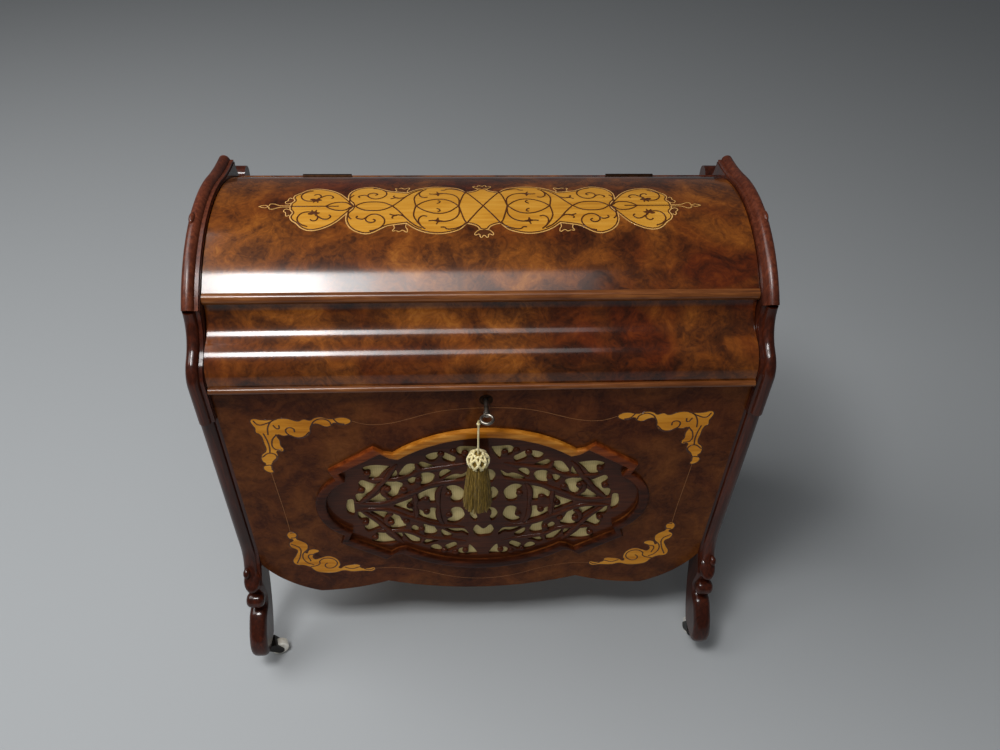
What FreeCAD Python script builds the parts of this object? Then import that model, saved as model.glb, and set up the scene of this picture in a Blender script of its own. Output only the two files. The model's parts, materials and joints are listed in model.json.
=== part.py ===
import FreeCAD, Part
import math
import os
from FreeCAD import Placement, Rotation, Vector

# A dome-topped sheet-music box of walnut: shaped ends on scroll feet and castors, a barrel lid that
# swings up and back, and a fixed front with a pierced fret, a lock, a key and a tassel.
# Millimetres. +Z is up, the front faces -Y, +X is to the right of someone facing it, the floor is zero.

doc = FreeCAD.newDocument("music_box")
sheet = doc.addObject("Spreadsheet::Sheet", "Sizes")

SIZES = {
    # Case: the space between the ends, the boards and the floor of the box
    "inner_width": 604.0,
    "end_board": 18.0,
    "panel_face": -137.0,
    "panel_board": 15.0,
    "panel_top": 496.0,
    "floor_height": 184.0,
    "floor_board": 12.0,
    "back_face": 173.0,
    "back_board_thick": 12.0,
    # Barrel: the circle that the lid and the rear rail share
    "barrel_radius": 184.0,
    "barrel_depth": 35.0,
    "barrel_height": 451.0,
    "barrel_wall": 12.0,
    "lip_angle": 41.0,
    "hinge_angle": 31.0,
    "hinge_gap": 1.6,
    "side_gap": 0.8,
    "lid_gap": 1.0,
    # Edge mouldings of the ends
    "edge_width": 22.0,
    "cap_width": 17.5,
    "edge_rise": 9.0,
    "edge_step": 4.0,
    "edge_inset": 1.0,
    "crest_reveal": 2.0,
    "spur_angle": 47.0,
    "flare_angle": 12.0,
    "peak_angle": 30.0,
    "peak_rise": 16.0,
    "lobe_radius": 13.0,
    "lobe_angle": 47.5,
    "lobe_rise": 12.0,
    "notch_depth": -98.0,
    "shoulder_front": -141.0,
    "shoulder_height": 508.0,
    "shoulder_radius": 24.0,
    "shoulder_bottom": 455.0,
    "leg_front": -131.0,
    "leg_curl": 70.0,
    "curl_angle": 51.8,
    "foot_top": 150.0,
    "arch_rise": 28.0,
    "front_leg_back": -104.0,
    "rear_leg_front": 140.0,
    # Scroll feet
    "foot_width": 24.0,
    "foot_gap": 0.4,
    "foot_reach": 204.0,
    "foot_sole": 40.0,
    "knob_radius": 10.8,
    "knob_drop": 29.0,
    # Lid front: ogee, lip and bead
    "ogee_top": 577.0,
    "ogee_top_depth": -88.0,
    "ogee_front": -141.0,
    "ogee_front_height": 509.0,
    "ogee_radius": 35.0,
    "ogee_board": 18.0,
    "lip_reach": 5.0,
    "bead_height": 7.0,
    "bead_reach": 5.0,
    "cheek_board": 10.0,
    # Front panel: apron, cartouche and fret
    "apron_corner": 168.0,
    "apron_lobe": 102.0,
    "apron_dip": 122.0,
    "apron_centre": 100.0,
    "cartouche_height": 292.0,
    "cartouche_half_width": 213.0,
    "cartouche_half_height": 138.5,
    "cartouche_band": 13.5,
    "cartouche_rise": 5.5,
    "cartouche_round": 3.5,
    "fret_board": 4.0,
    "fret_margin": 14.0,
    "fret_half_width": 177.0,
    "fret_half_height": 112.0,
    "fret_drop": 6.0,
    "silk": 0.6,
    "silk_set": 8.0,
    "silk_slip": 6.0,
    # Partitions for the music
    "partition_board": 8.0,
    "partition_height": 250.0,
    "partition_dip": 40.0,
    "front_partition_depth": -27.0,
    "rear_partition_depth": 75.0,
    "partition_slip": 8.0,
    "glue_block": 22.0,
    # Hinges
    "hinge_length": 60.0,
    "hinge_offset": 190.0,
    "knuckle_radius": 3.0,
    "hinge_pin_radius": 1.5,
    "leaf_plate": 1.4,
    "leaf_depth": 11.0,
    # Lock and key
    "key_drop": 20.0,
    "lock_width": 56.0,
    "lock_below": 22.0,
    "lock_depth": 9.0,
    "lock_plate": 2.0,
    "bolt_width": 16.0,
    "bolt_thick": 4.0,
    "bolt_travel": 7.5,
    "escutcheon_radius": 8.0,
    "escutcheon_plate": 3.0,
    "shank_radius": 2.7,
    "key_reach": 31.0,
    "bow_radius": 6.8,
    "bow_wire": 1.7,
    "bit_length": 6.4,
    "bit_thick": 2.0,
    # Tassel
    "tassel_side": -9.5,
    "cord_radius": 1.1,
    "cord_drop": 51.0,
    "tassel_radius": 14.0,
    "skirt_length": 71.0,
    "skirt_top": 11.5,
    "skirt_bottom": 19.0,
    # Castors
    "castor_height": 34.0,
    "castor_plate": 3.0,
    "castor_plate_radius": 11.5,
    "spindle_radius": 4.0,
    "rivet_radius": 6.0,
    "rivet_head": 1.8,
    "horn_top": 4.5,
    "horn_radius": 11.0,
    "horn_cheek": 2.5,
    "roller_radius": 12.5,
    "roller_width": 12.0,
    "roller_chamfer": 1.5,
    "axle_radius": 3.0,
    "castor_trail": 18.0,
    # Clearances
    "running_gap": 0.3,
    "shaft_gap": 0.05,
}
for row, (alias, value) in enumerate(SIZES.items(), start=1):
    sheet.set(f"A{row}", alias)
    sheet.set(f"B{row}", str(value))
    sheet.setAlias(f"B{row}", alias)
doc.recompute()

subparts = []


def size(alias):
    return float(sheet.get(alias))


def cell(alias):
    return "Sizes." + alias


def keep(item, label):
    """Give a finished sub-part its label and put it on the list of pieces to write."""
    item.Label = label
    subparts.append(item)
    return item


# Plane geometry, in sketch coordinates: (depth, height) on end profiles, (across, height) on the front.


def at(across, up):
    return Vector(across, up, 0)


def on_circle(centre, radius, degrees):
    """A point at an angle from straight up, positive towards the back."""
    turn = math.radians(degrees)
    return centre + at(radius * math.sin(turn), radius * math.cos(turn))


def chain(start, *steps):
    """Edges from point to point: a step is a point for a line, or (via, point) for an arc."""
    edges = []
    here = start
    for step in steps:
        if isinstance(step, tuple):
            edges.append(Part.Arc(here, step[0], step[1]))
            here = step[1]
        else:
            edges.append(Part.LineSegment(here, step))
            here = step
    return edges


def polygon(*points):
    return chain(points[-1], *points)


def rectangle(low, high):
    return polygon(low, at(high.x, low.y), high, at(low.x, high.y))


def circle(centre, radius):
    return [Part.Circle(centre, Vector(0, 0, 1), radius)]


def tangent_via(start, heading, end):
    """The middle point of the arc that leaves start along heading and reaches end."""
    chord = end - start
    side = heading - chord * (heading.dot(chord) / chord.dot(chord))
    half_turn = heading.getAngle(chord) / 2
    return (start + end) * 0.5 + side.normalize() * (chord.Length / 2 * math.tan(half_turn))


def double_curve(top, front, radius, degrees):
    """Steps from top, down a hollow, a short slope and a bulge, to a vertical tangent at front."""
    turn = math.radians(degrees)
    half = turn / 2
    sine, cosine = math.sin(turn), math.cos(turn)
    bulge_start = front + at(radius * (1 - cosine), radius * sine)
    gap = bulge_start - top
    hollow = (gap.x * cosine - gap.y * sine) / (1 - cosine)
    hollow_end = top - at(hollow * (1 - cosine), hollow * sine)
    hollow_via = top - at(hollow * (1 - math.cos(half)), hollow * math.sin(half))
    bulge_via = front + at(radius * (1 - math.cos(half)), radius * math.sin(half))
    return [(hollow_via, hollow_end), bulge_start, (bulge_via, front)]


def reversed_steps(start, steps):
    """The same run walked backwards: the new start and its steps."""
    points = [start] + [step[1] if isinstance(step, tuple) else step for step in steps]
    back = []
    for number in range(len(steps) - 1, -1, -1):
        step = steps[number]
        target = points[number]
        back.append((step[0], target) if isinstance(step, tuple) else target)
    return points[-1], back


# Features of the document


def origin_plane(body, role):
    return next(item for item in body.Origin.OriginFeatures if item.Role == role)


def add_sketch(body, role, edges, offset=None):
    sketch = body.newObject("Sketcher::SketchObject", body.Name + "_sketch")
    sketch.AttachmentSupport = (origin_plane(body, role), [""])
    sketch.MapMode = "FlatFace"
    if offset is not None:
        sketch.setExpression("AttachmentOffset.Base.z", offset)
    sketch.addGeometry(edges, False)
    return sketch


def add_pad(body, sketch, length, both=False):
    pad = body.newObject("PartDesign::Pad", body.Name + "_pad")
    pad.Profile = sketch
    pad.setExpression("Length", length)
    if both:
        pad.SideType = "Symmetric"
    return pad


def add_pocket(body, sketch, length, both=False, away=False):
    doc.recompute()
    before = body.Shape.Volume
    pocket = body.newObject("PartDesign::Pocket", body.Name + "_pocket")
    pocket.Profile = sketch
    pocket.setExpression("Length", length)
    pocket.Reversed = away
    if both:
        pocket.SideType = "Symmetric"
    doc.recompute()
    if body.Shape.Volume > before - 1e-6:
        raise RuntimeError(body.Label + ": a pocket cuts nothing")
    return pocket


def profile_strip(name, edges, length, low_end):
    """A solid with one section all along X: its section in depth and height, its length and low X."""
    body = doc.addObject("PartDesign::Body", name)
    add_pad(body, add_sketch(body, "YZ_Plane", edges), length)
    body.setExpression("Placement.Base.x", low_end)
    return body


def profile_body(label, edges, length, low_end):
    return keep(profile_strip(label, edges, length, low_end), label)


def facing_body(label, edges, thickness, back):
    """A board seen from the front: its outline across and up, its thickness and the depth of its back."""
    body = doc.addObject("PartDesign::Body", label)
    add_pad(body, add_sketch(body, "XZ_Plane", edges), thickness)
    body.setExpression("Placement.Base.y", back)
    return keep(body, label)


def box(name, lengths, corner):
    """A block with its lengths and its low corner bound to the sheet."""
    block = doc.addObject("Part::Box", name)
    for prop, expression in zip(("Length", "Width", "Height"), lengths):
        block.setExpression(prop, expression)
    for axis, expression in zip("xyz", corner):
        block.setExpression("Placement.Base." + axis, expression)
    return block


def cylinder(name, radius, height, place):
    rod = doc.addObject("Part::Cylinder", name)
    rod.setExpression("Radius", radius)
    rod.setExpression("Height", height)
    rod.Placement = place
    return rod


def fuse(name, pieces):
    joined = doc.addObject("Part::MultiFuse", name)
    joined.Shapes = pieces
    joined.Refine = True
    return joined


def cut(name, base, tool):
    result = doc.addObject("Part::Cut", name)
    result.Base = base
    result.Tool = tool
    return result


def group(label, pieces):
    """Separate solids that share one node."""
    bundle = doc.addObject("Part::Compound", label)
    bundle.Links = pieces
    return keep(bundle, label)


ALONG_X = Rotation(Vector(0, 0, 1), Vector(1, 0, 0))
ALONG_Y = Rotation(Vector(0, 0, 1), Vector(0, 1, 0))
PROFILE_TURN = Rotation(Vector(0, 1, 0), Vector(0, 0, 1), Vector(1, 0, 0), "XYZ")

barrel = at(size("barrel_depth"), size("barrel_height"))
lid_radius = size("barrel_radius")
lid_inner = lid_radius - size("barrel_wall")
half_inner = size("inner_width") / 2
panel_back = size("panel_face") + size("panel_board")
lid_bottom = size("panel_top") + size("lid_gap")
inside_low = size("floor_height") + size("floor_board")
foot_centre = half_inner + size("foot_gap") + size("foot_width") / 2
key_height = size("panel_top") - size("key_drop")
lock_height = size("key_drop") + size("lock_below")

PANEL_BACK = "(Sizes.panel_face + Sizes.panel_board)"
FOOT_CENTRE = "(Sizes.inner_width / 2 + Sizes.foot_gap + Sizes.foot_width / 2)"
KEY_HEIGHT = "(Sizes.panel_top - Sizes.key_drop)"
LOCK_HEIGHT = "(Sizes.key_drop + Sizes.lock_below)"
LID_LENGTH = "Sizes.inner_width - 2 * Sizes.side_gap"
LID_LOW = "-Sizes.inner_width / 2 + Sizes.side_gap"


# Ends: one outline serves the boards and, run by run, the paths of their edge mouldings

crest_radius = lid_radius + size("crest_reveal")
spur = on_circle(barrel, crest_radius, -size("spur_angle"))
crest_via = on_circle(barrel, crest_radius, (size("flare_angle") - size("spur_angle")) / 2)
flare = on_circle(barrel, crest_radius, size("flare_angle"))
flare_turn = math.radians(size("flare_angle"))
flare_heading = at(math.cos(flare_turn), -math.sin(flare_turn))
peak = on_circle(barrel, crest_radius + size("peak_rise"), size("peak_angle"))
crest_steps = [(crest_via, flare), (tangent_via(flare, flare_heading, peak), peak)]

lobe = on_circle(barrel, lid_radius + size("lobe_rise"), size("lobe_angle"))
LOBE_START = -60
LOBE_TOP = 20
lobe_start = on_circle(lobe, size("lobe_radius"), LOBE_START)
lobe_top = on_circle(lobe, size("lobe_radius"), LOBE_TOP)
lobe_end = lobe + at(size("lobe_radius"), 0)
valley = (peak + lobe_start) * 0.5
valley = barrel + (valley - barrel).normalize() * crest_radius

shoulder_top = at(size("notch_depth"), spur.y - size("running_gap"))
shoulder_front = at(size("shoulder_front"), size("shoulder_height"))
shoulder_end = at(size("shoulder_front"), size("shoulder_bottom"))
SHOULDER_TURN = 60
shoulder_steps = double_curve(shoulder_top, shoulder_front, size("shoulder_radius"), SHOULDER_TURN)
shoulder_steps.append(shoulder_end)

leg_top = at(size("leg_front"), size("shoulder_bottom"))
leg_curl = size("leg_curl")
curl_turn = math.radians(size("curl_angle"))
leg_bend = at(size("leg_front"), size("foot_top") + leg_curl * math.sin(curl_turn))
curl_via = leg_bend - at(leg_curl * (1 - math.cos(curl_turn / 2)), leg_curl * math.sin(curl_turn / 2))
curl_end = leg_bend - at(leg_curl * (1 - math.cos(curl_turn)), leg_curl * math.sin(curl_turn))
leg_steps = [leg_bend, (curl_via, curl_end)]

arch_middle = (size("front_leg_back") + size("rear_leg_front")) / 2
arch_crown = at(arch_middle, size("foot_top") + size("arch_rise"))


def end_outline():
    leg_end, up_leg = reversed_steps(leg_top, leg_steps)
    low_spur, up_shoulder = reversed_steps(shoulder_top, shoulder_steps)
    return chain(
        spur,
        *crest_steps,
        (valley, lobe_start),
        (lobe_top, lobe_end),
        at(lobe_end.x, size("foot_top")),
        at(size("rear_leg_front"), size("foot_top")),
        (arch_crown, at(size("front_leg_back"), size("foot_top"))),
        leg_end,
        *up_leg,
        low_spur,
        *up_shoulder,
        spur,
    )


def edge_section(width):
    """Section of an edge moulding: a thin step beside the box, then a broad round."""
    step = size("edge_step")
    step_rise = size("edge_rise") / 3
    crown = at((step + width) / 2, size("edge_rise"))
    return chain(at(0, 0), at(0, step_rise), at(step, step_rise), (crown, at(width, 0)), at(0, 0))


def edge_moulding(label, side, start, steps, heading, width):
    """A moulding swept along one run of the end's outline; heading is the direction at its start."""
    across = side * (half_inner + size("edge_inset"))
    path = doc.addObject("Sketcher::SketchObject", label + "_path")
    path.Placement = Placement(Vector(across, 0, 0), PROFILE_TURN)
    path.addGeometry(chain(start, *steps), False)
    outward = Vector(0, -heading.y, heading.x)
    section = doc.addObject("Sketcher::SketchObject", label + "_section")
    along = Vector(side, 0, 0)
    turn = Rotation(along, outward, along.cross(outward), "XYZ")
    section.Placement = Placement(Vector(across, start.x, start.y), turn)
    section.addGeometry(edge_section(size(width)), False)
    doc.recompute()
    sweep = doc.addObject("Part::Sweep", label)
    sweep.Sections = [section]
    sweep.Spine = (path, [f"Edge{number}" for number in range(1, len(steps) + 1)])
    sweep.Solid = True
    sweep.Frenet = False
    return keep(sweep, label)


# Points of a foot's toe, heel and instep, as shares of the length of its sole from the toe and the floor
TOE_ROUND = 0.65
TOE_CORNER = at(0.08, 0.15)
TOE_END = 0.3
HEEL = 1.1
INSTEP = at(-0.17, 0.13)
NECK = at(0.04, 0.0)
SHIN = at(0.08, 0.0)
HOLLOW = at(0.15, 0.0)
# Heights as shares of a foot's height above its castor
NECK_LIFT = 0.62
FRONT_HOLLOW_LIFT = 0.45
REAR_HOLLOW_LIFT = 0.5
# How far the volute's middle lies in front of the end of the leg's curl, as a share of its radius
KNOB_LEAN = 0.3


def foot_outline(front):
    """A scroll foot seen from the side. The front one takes up the curl of the leg above it."""
    top = size("foot_top")
    bottom = size("castor_height")
    sole = size("foot_sole")
    toe = at(-size("foot_reach"), bottom)
    toe_round = toe + at(0, sole * TOE_ROUND)
    toe_end = toe + at(sole * TOE_END, 0)
    heel = toe + at(sole * HEEL, 0)
    toe_steps = [(toe + TOE_CORNER * sole, toe_end), heel]
    if front:
        back = at(size("front_leg_back"), top)
        neck = at(curl_end.x, bottom + (top - bottom) * NECK_LIFT) + NECK * sole
        instep = (neck + toe_round) * 0.5 + INSTEP * sole
        hollow = at((heel.x + back.x) / 2, bottom + (top - bottom) * FRONT_HOLLOW_LIFT) + HOLLOW * sole
        return chain(back, curl_end, neck, (instep, toe_round), *toe_steps, (hollow, back))
    face = at(-lobe_end.x, top)
    back = at(-size("rear_leg_front"), top)
    shin = (face + toe_round) * 0.5 + SHIN * sole
    hollow = at((heel.x + back.x) / 2, bottom + (top - bottom) * REAR_HOLLOW_LIFT) + HOLLOW * sole
    steps = [(shin, toe_round), *toe_steps, (hollow, back), face]
    turned = [tuple(at(-p.x, p.y) for p in s) if isinstance(s, tuple) else at(-s.x, s.y) for s in steps]
    return chain(at(-face.x, face.y), *turned)


def foot_body(name, side, front):
    low_end = f"{side} * {FOOT_CENTRE} - Sizes.foot_width / 2"
    return profile_strip(name, foot_outline(front), cell("foot_width"), low_end)


def volute(name, side):
    """The rolled end of a front leg, seated on its foot."""
    centre = curl_end - at(size("knob_radius") * KNOB_LEAN, size("knob_drop"))
    low_end = side * foot_centre - size("foot_width") / 2
    place = Placement(Vector(low_end, centre.x, centre.y), ALONG_X)
    return cylinder(name, cell("knob_radius"), cell("foot_width"), place)


crest_turn = math.radians(size("spur_angle"))
for name, side in (("left", -1), ("right", 1)):
    low = "-Sizes.inner_width / 2 - Sizes.end_board" if side < 0 else "Sizes.inner_width / 2"
    profile_body(name + "_end", end_outline(), cell("end_board"), low)
    crest_heading = at(math.cos(crest_turn), math.sin(crest_turn))
    edge_moulding(name + "_crest_moulding", side, spur, crest_steps, crest_heading, "cap_width")
    low_spur, up_shoulder = reversed_steps(shoulder_top, shoulder_steps)
    edge_moulding(name + "_shoulder_moulding", side, low_spur, up_shoulder, at(0, 1), "cap_width")
    leg_end, up_leg = reversed_steps(leg_top, leg_steps)
    up_heading = at(math.sin(curl_turn), math.cos(curl_turn))
    edge_moulding(name + "_leg_moulding", side, leg_end, up_leg, up_heading, "edge_width")
    foot_block = foot_body(name + "_foot_block", side, True)
    front_foot = fuse("front_" + name + "_foot", [foot_block, volute(name + "_volute", side)])
    keep(front_foot, "front_" + name + "_foot")
    keep(foot_body("rear_" + name + "_foot", side, False), "rear_" + name + "_foot")


# Front panel: serpentine apron, cartouche, fret and silk


# A quarter of the cartouche, as shares of its half width and half height: the end of the top arc, a
# notch, an ear, the tail of the slope below it, and the neck where the side arc starts
CARTOUCHE_QUARTER = ((0.52, 0.72), (0.57, 0.74), (0.623, 0.805), (0.888, 0.525), (0.86, 0.406))
# The apron, as shares of half the box's inner width, and how far its curves rise between their ends
APRON_LOBE = 0.76
APRON_KNEE = 0.874
APRON_KNEE_LIFT = 0.29
APRON_DIP = 0.44
APRON_WAVE = 0.6
APRON_WAVE_LIFT = 0.25


def cartouche_outline(inset):
    """Closed outline of the cartouche, drawn in from its outer edge by inset."""
    wide = size("cartouche_half_width") - inset
    tall = size("cartouche_half_height") - inset
    quarter = [at(wide * across, tall * up) for across, up in CARTOUCHE_QUARTER]
    shoulder = quarter[0]
    neck = quarter[-1]
    steps = quarter[1:] + [(at(wide, 0), at(neck.x, -neck.y))]
    steps += [at(p.x, -p.y) for p in reversed(quarter[:-1])]
    steps += [(at(0, -tall), at(-shoulder.x, -shoulder.y))]
    steps += [at(-p.x, -p.y) for p in quarter[1:]]
    steps += [(at(-wide, 0), at(-neck.x, neck.y))]
    steps += [at(-p.x, p.y) for p in reversed(quarter[:-1])]
    steps += [(at(0, tall), shoulder)]
    lift = at(0, size("cartouche_height"))
    lifted = [tuple(p + lift for p in s) if isinstance(s, tuple) else s + lift for s in steps]
    return chain(shoulder + lift, *lifted)


def panel_outline():
    """The front panel: straight top and sides, and a serpentine apron below."""
    top = size("panel_top")
    corner = at(half_inner, size("apron_corner"))
    lobe_low = at(half_inner * APRON_LOBE, size("apron_lobe"))
    corner_via = at(half_inner * APRON_KNEE, size("apron_lobe") + (corner.y - lobe_low.y) * APRON_KNEE_LIFT)
    dip = at(half_inner * APRON_DIP, size("apron_dip"))
    lobe_via = at(half_inner * APRON_WAVE, size("apron_lobe") + (dip.y - lobe_low.y) * APRON_WAVE_LIFT)
    middle = at(0, size("apron_centre"))
    right = [(corner_via, lobe_low), (lobe_via, dip)]
    left = [tuple(at(-p.x, p.y) for p in step) for step in reversed_steps(corner, right)[1]]
    return chain(
        at(-half_inner, top),
        at(half_inner, top),
        corner,
        *right,
        (middle, at(-dip.x, dip.y)),
        *left,
        at(-half_inner, top),
    )


rebate_wide = size("cartouche_half_width") - size("cartouche_band") + size("fret_margin")
rebate_tall = size("cartouche_half_height") - size("cartouche_band") + size("fret_margin")
cartouche_centre = at(0, size("cartouche_height"))
half_rebate = at(rebate_wide, rebate_tall)
fret_low = cartouche_centre - half_rebate
fret_high = cartouche_centre + half_rebate
rebate_outline = rectangle(fret_low, fret_high)
REBATE = "(Sizes.fret_board + Sizes.silk + Sizes.silk_set)"
SILK_BACK = PANEL_BACK + " - Sizes.silk_set"

panel_edges = panel_outline() + cartouche_outline(size("cartouche_band"))
panel = facing_body("front_panel", panel_edges, cell("panel_board"), PANEL_BACK)
add_pocket(panel, add_sketch(panel, "XZ_Plane", rebate_outline), REBATE, away=True)
lock_low = size("panel_top") - lock_height
mortise_half = size("lock_width") / 2
mortise = rectangle(at(-mortise_half, lock_low), at(mortise_half, size("panel_top")))
add_pocket(panel, add_sketch(panel, "XZ_Plane", mortise), cell("lock_depth"), away=True)
key_centre = at(0, key_height)
FACE_OFFSET = "Sizes.panel_board"
plate_seat = add_sketch(panel, "XZ_Plane", circle(key_centre, size("escutcheon_radius")), FACE_OFFSET)
add_pocket(panel, plate_seat, cell("escutcheon_plate"))
keyhole_radius = size("shank_radius") + size("running_gap")
bit_slot = size("bit_thick") / 2 + size("running_gap")
slot_depth = size("bit_length") + size("running_gap")


def keyhole_outline():
    """A round hole with a slot below it for the key's bit."""
    meet = math.sqrt(keyhole_radius ** 2 - bit_slot ** 2)
    return chain(
        key_centre + at(bit_slot, -meet),
        (key_centre + at(0, keyhole_radius), key_centre + at(-bit_slot, -meet)),
        key_centre + at(-bit_slot, -slot_depth),
        key_centre + at(bit_slot, -slot_depth),
        key_centre + at(bit_slot, -meet),
    )


add_pocket(panel, add_sketch(panel, "XZ_Plane", keyhole_outline()), cell("panel_board"), away=True)

plate_edges = circle(key_centre, size("escutcheon_radius")) + keyhole_outline()
facing_body("keyhole_plate", plate_edges, cell("escutcheon_plate"),
            "Sizes.panel_face + Sizes.escutcheon_plate")

FACING_TURN = Rotation(Vector(1, 0, 0), Vector(0, 0, 1), Vector(0, -1, 0), "XYZ")


def cartouche_loft(name, levels):
    """A solid through cartouche outlines, each drawn in by an inset and raised from the panel's face."""
    sections = []
    for inset, rise in levels:
        sketch = doc.addObject("Sketcher::SketchObject", name + "_level")
        sketch.Placement = Placement(Vector(0, size("panel_face") - rise, 0), FACING_TURN)
        sketch.addGeometry(cartouche_outline(inset), False)
        sections.append(sketch)
    doc.recompute()
    loft = doc.addObject("Part::Loft", name)
    loft.Sections = sections
    loft.Solid = True
    loft.Ruled = True
    return loft


moulding_band = size("cartouche_band")
moulding_rise = size("cartouche_rise")
moulding_round = size("cartouche_round")
MOULDING_ROUND = ((0.0, 1.0), (0.1, 0.4), (0.45, 0.1), (1.0, 0.0))
outer_levels = [(0.0, 0.0)]
inner_levels = [(moulding_band, 0.0)]
for inset, drop in MOULDING_ROUND:
    level = moulding_rise - drop * moulding_round
    outer_levels.append((inset * moulding_round, level))
    inner_levels.append((moulding_band - inset * moulding_round, level))
keep(cut("cartouche_moulding", cartouche_loft("cartouche_block", outer_levels),
         cartouche_loft("cartouche_opening", inner_levels)), "cartouche_moulding")


# Pierced fret. Each opening is a smooth loop through points of the upper right quarter, given as shares of
# the pierced field's half width and half height; hollows in a loop leave the buds of the scrolls. Mirror
# images of the loops pierce the other quarters; loops on the long or the upright axis have one image.

QUARTERS = ((1, 1), (-1, 1), (1, -1), (-1, -1))
SIDES = ((1, 1), (-1, 1))
ENDS = ((1, 1), (1, -1))
FRET_OPENINGS = {
    "crown": [
        (0.053, 0.981), (0.12, 0.99), (0.184, 0.977), (0.187, 0.861), (0.158, 0.835), (0.139, 0.867),
        (0.126, 0.877), (0.108, 0.778), (0.07, 0.847),
    ],
    "crown_hook": [
        (0.208, 0.827), (0.237, 0.859), (0.279, 0.894), (0.292, 0.788), (0.252, 0.734), (0.216, 0.717),
    ],
    "crown_leaf": [
        (0.325, 0.902), (0.367, 0.889), (0.406, 0.838), (0.378, 0.754), (0.333, 0.777),
    ],
    "slit": [
        (0.347, 0.686), (0.398, 0.731), (0.442, 0.751), (0.457, 0.671), (0.414, 0.621), (0.364, 0.593),
    ],
    "shoulder": [
        (0.491, 0.724), (0.531, 0.719), (0.572, 0.638), (0.595, 0.508), (0.55, 0.502), (0.498, 0.571),
    ],
    "shoulder_point": [
        (0.619, 0.624), (0.654, 0.566), (0.682, 0.482), (0.628, 0.476),
    ],
    "ear": [
        (0.658, 0.696), (0.726, 0.714), (0.798, 0.707), (0.844, 0.649), (0.825, 0.604), (0.799, 0.607),
        (0.79, 0.579), (0.81, 0.492), (0.763, 0.471), (0.709, 0.568),
    ],
    "side": [
        (0.744, 0.401), (0.807, 0.429), (0.86, 0.466), (0.885, 0.382), (0.86, 0.319), (0.845, 0.293),
        (0.86, 0.242), (0.895, 0.24), (0.919, 0.183), (0.9, 0.061), (0.866, 0.125), (0.812, 0.236),
        (0.764, 0.309),
    ],
    "cheek": [
        (0.583, 0.41), (0.632, 0.438), (0.694, 0.427), (0.711, 0.344), (0.681, 0.324), (0.664, 0.303),
        (0.684, 0.24), (0.665, 0.136), (0.623, 0.175), (0.603, 0.267), (0.581, 0.325),
    ],
    "cheek_point": [
        (0.738, 0.25), (0.786, 0.171), (0.827, 0.076), (0.77, 0.016), (0.7, 0.084), (0.714, 0.181),
    ],
    "leaf": [
        (0.325, 0.324), (0.393, 0.292), (0.448, 0.24), (0.48, 0.169), (0.464, 0.076), (0.442, 0.109),
        (0.419, 0.122), (0.398, 0.115), (0.39, 0.05), (0.359, 0.048), (0.345, 0.163),
    ],
    "almond": [
        (0.14, 0.22), (0.171, 0.31), (0.226, 0.35), (0.271, 0.311), (0.253, 0.237), (0.237, 0.214),
        (0.242, 0.141), (0.226, 0.054), (0.178, 0.045), (0.147, 0.129),
    ],
    "scroll": [
        (0.352, 0.539), (0.394, 0.575), (0.447, 0.546), (0.44, 0.472), (0.449, 0.35), (0.393, 0.36),
        (0.357, 0.44),
    ],
    "scroll_bud": [
        (0.48, 0.494), (0.522, 0.491), (0.541, 0.442), (0.516, 0.363), (0.483, 0.413),
    ],
    "ribbon": [
        (0.119, 0.587), (0.143, 0.552), (0.166, 0.533), (0.184, 0.54), (0.244, 0.512), (0.288, 0.428),
        (0.231, 0.387), (0.184, 0.436), (0.138, 0.466),
    ],
    "ribbon_leaf": [
        (0.241, 0.607), (0.286, 0.618), (0.314, 0.566), (0.31, 0.463), (0.271, 0.507),
    ],
    "centre_leaf": [
        (0.035, 0.06), (0.075, 0.075), (0.1, 0.15), (0.095, 0.25), (0.06, 0.31), (0.045, 0.24),
        (0.055, 0.16),
    ],
}
LONG_AXIS_OPENINGS = {
    "heart": [
        (0.522, 0.135), (0.57, 0.092), (0.655, 0), (0.57, -0.092), (0.522, -0.135), (0.528, -0.05),
        (0.553, 0), (0.528, 0.05),
    ],
    "tip": [
        (0.978, 0.125), (0.995, 0), (0.978, -0.125), (0.957, -0.145), (0.937, 0), (0.957, 0.145),
    ],
}
UPRIGHT_AXIS_OPENINGS = {
    "stem": [
        (0, 0.615), (-0.045, 0.605), (-0.072, 0.55), (-0.072, 0.44), (-0.05, 0.385), (-0.028, 0.42),
        (0, 0.46), (0.028, 0.42), (0.05, 0.385), (0.072, 0.44), (0.072, 0.55), (0.045, 0.605),
    ],
}
fret_wide = size("fret_half_width")
fret_tall = size("fret_half_height")
field_height = size("cartouche_height") - size("fret_drop")
fret_back = panel_back - size("silk_set") - size("silk")
fret_front = fret_back - size("fret_board")
fret_depth = Vector(0, size("fret_board"), 0)


def fret_opening(outline, quarter):
    """The solid that a saw takes out of the fret for one opening."""
    wide, tall = quarter[0] * fret_wide, quarter[1] * fret_tall
    loop = Part.BSplineCurve()
    points = [Vector(x * wide, fret_front, field_height + z * tall) for x, z in outline]
    loop.interpolate(Points=points, PeriodicFlag=True)
    return Part.Face(Part.Wire(loop.toShape())).extrude(fret_depth)


def fret_shape():
    corner = Vector(fret_low.x, fret_front, fret_low.y)
    board = Part.makeBox(2 * rebate_wide, size("fret_board"), 2 * rebate_tall, corner)
    groups = ((FRET_OPENINGS, QUARTERS), (LONG_AXIS_OPENINGS, SIDES), (UPRIGHT_AXIS_OPENINGS, ENDS))
    openings = []
    for loops, quarters in groups:
        openings += [fret_opening(loop, quarter) for loop in loops.values() for quarter in quarters]
    return board.cut(openings)


fret = doc.addObject("Part::Feature", "fret_panel")
fret.Shape = fret_shape()
keep(fret, "fret_panel")

silk_lengths = (f"{2 * rebate_wide}", cell("silk"), f"{2 * rebate_tall}")
silk = box("silk_backing", silk_lengths, (f"{fret_low.x}", SILK_BACK + " - Sizes.silk", f"{fret_low.y}"))
keep(silk, "silk_backing")

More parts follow.
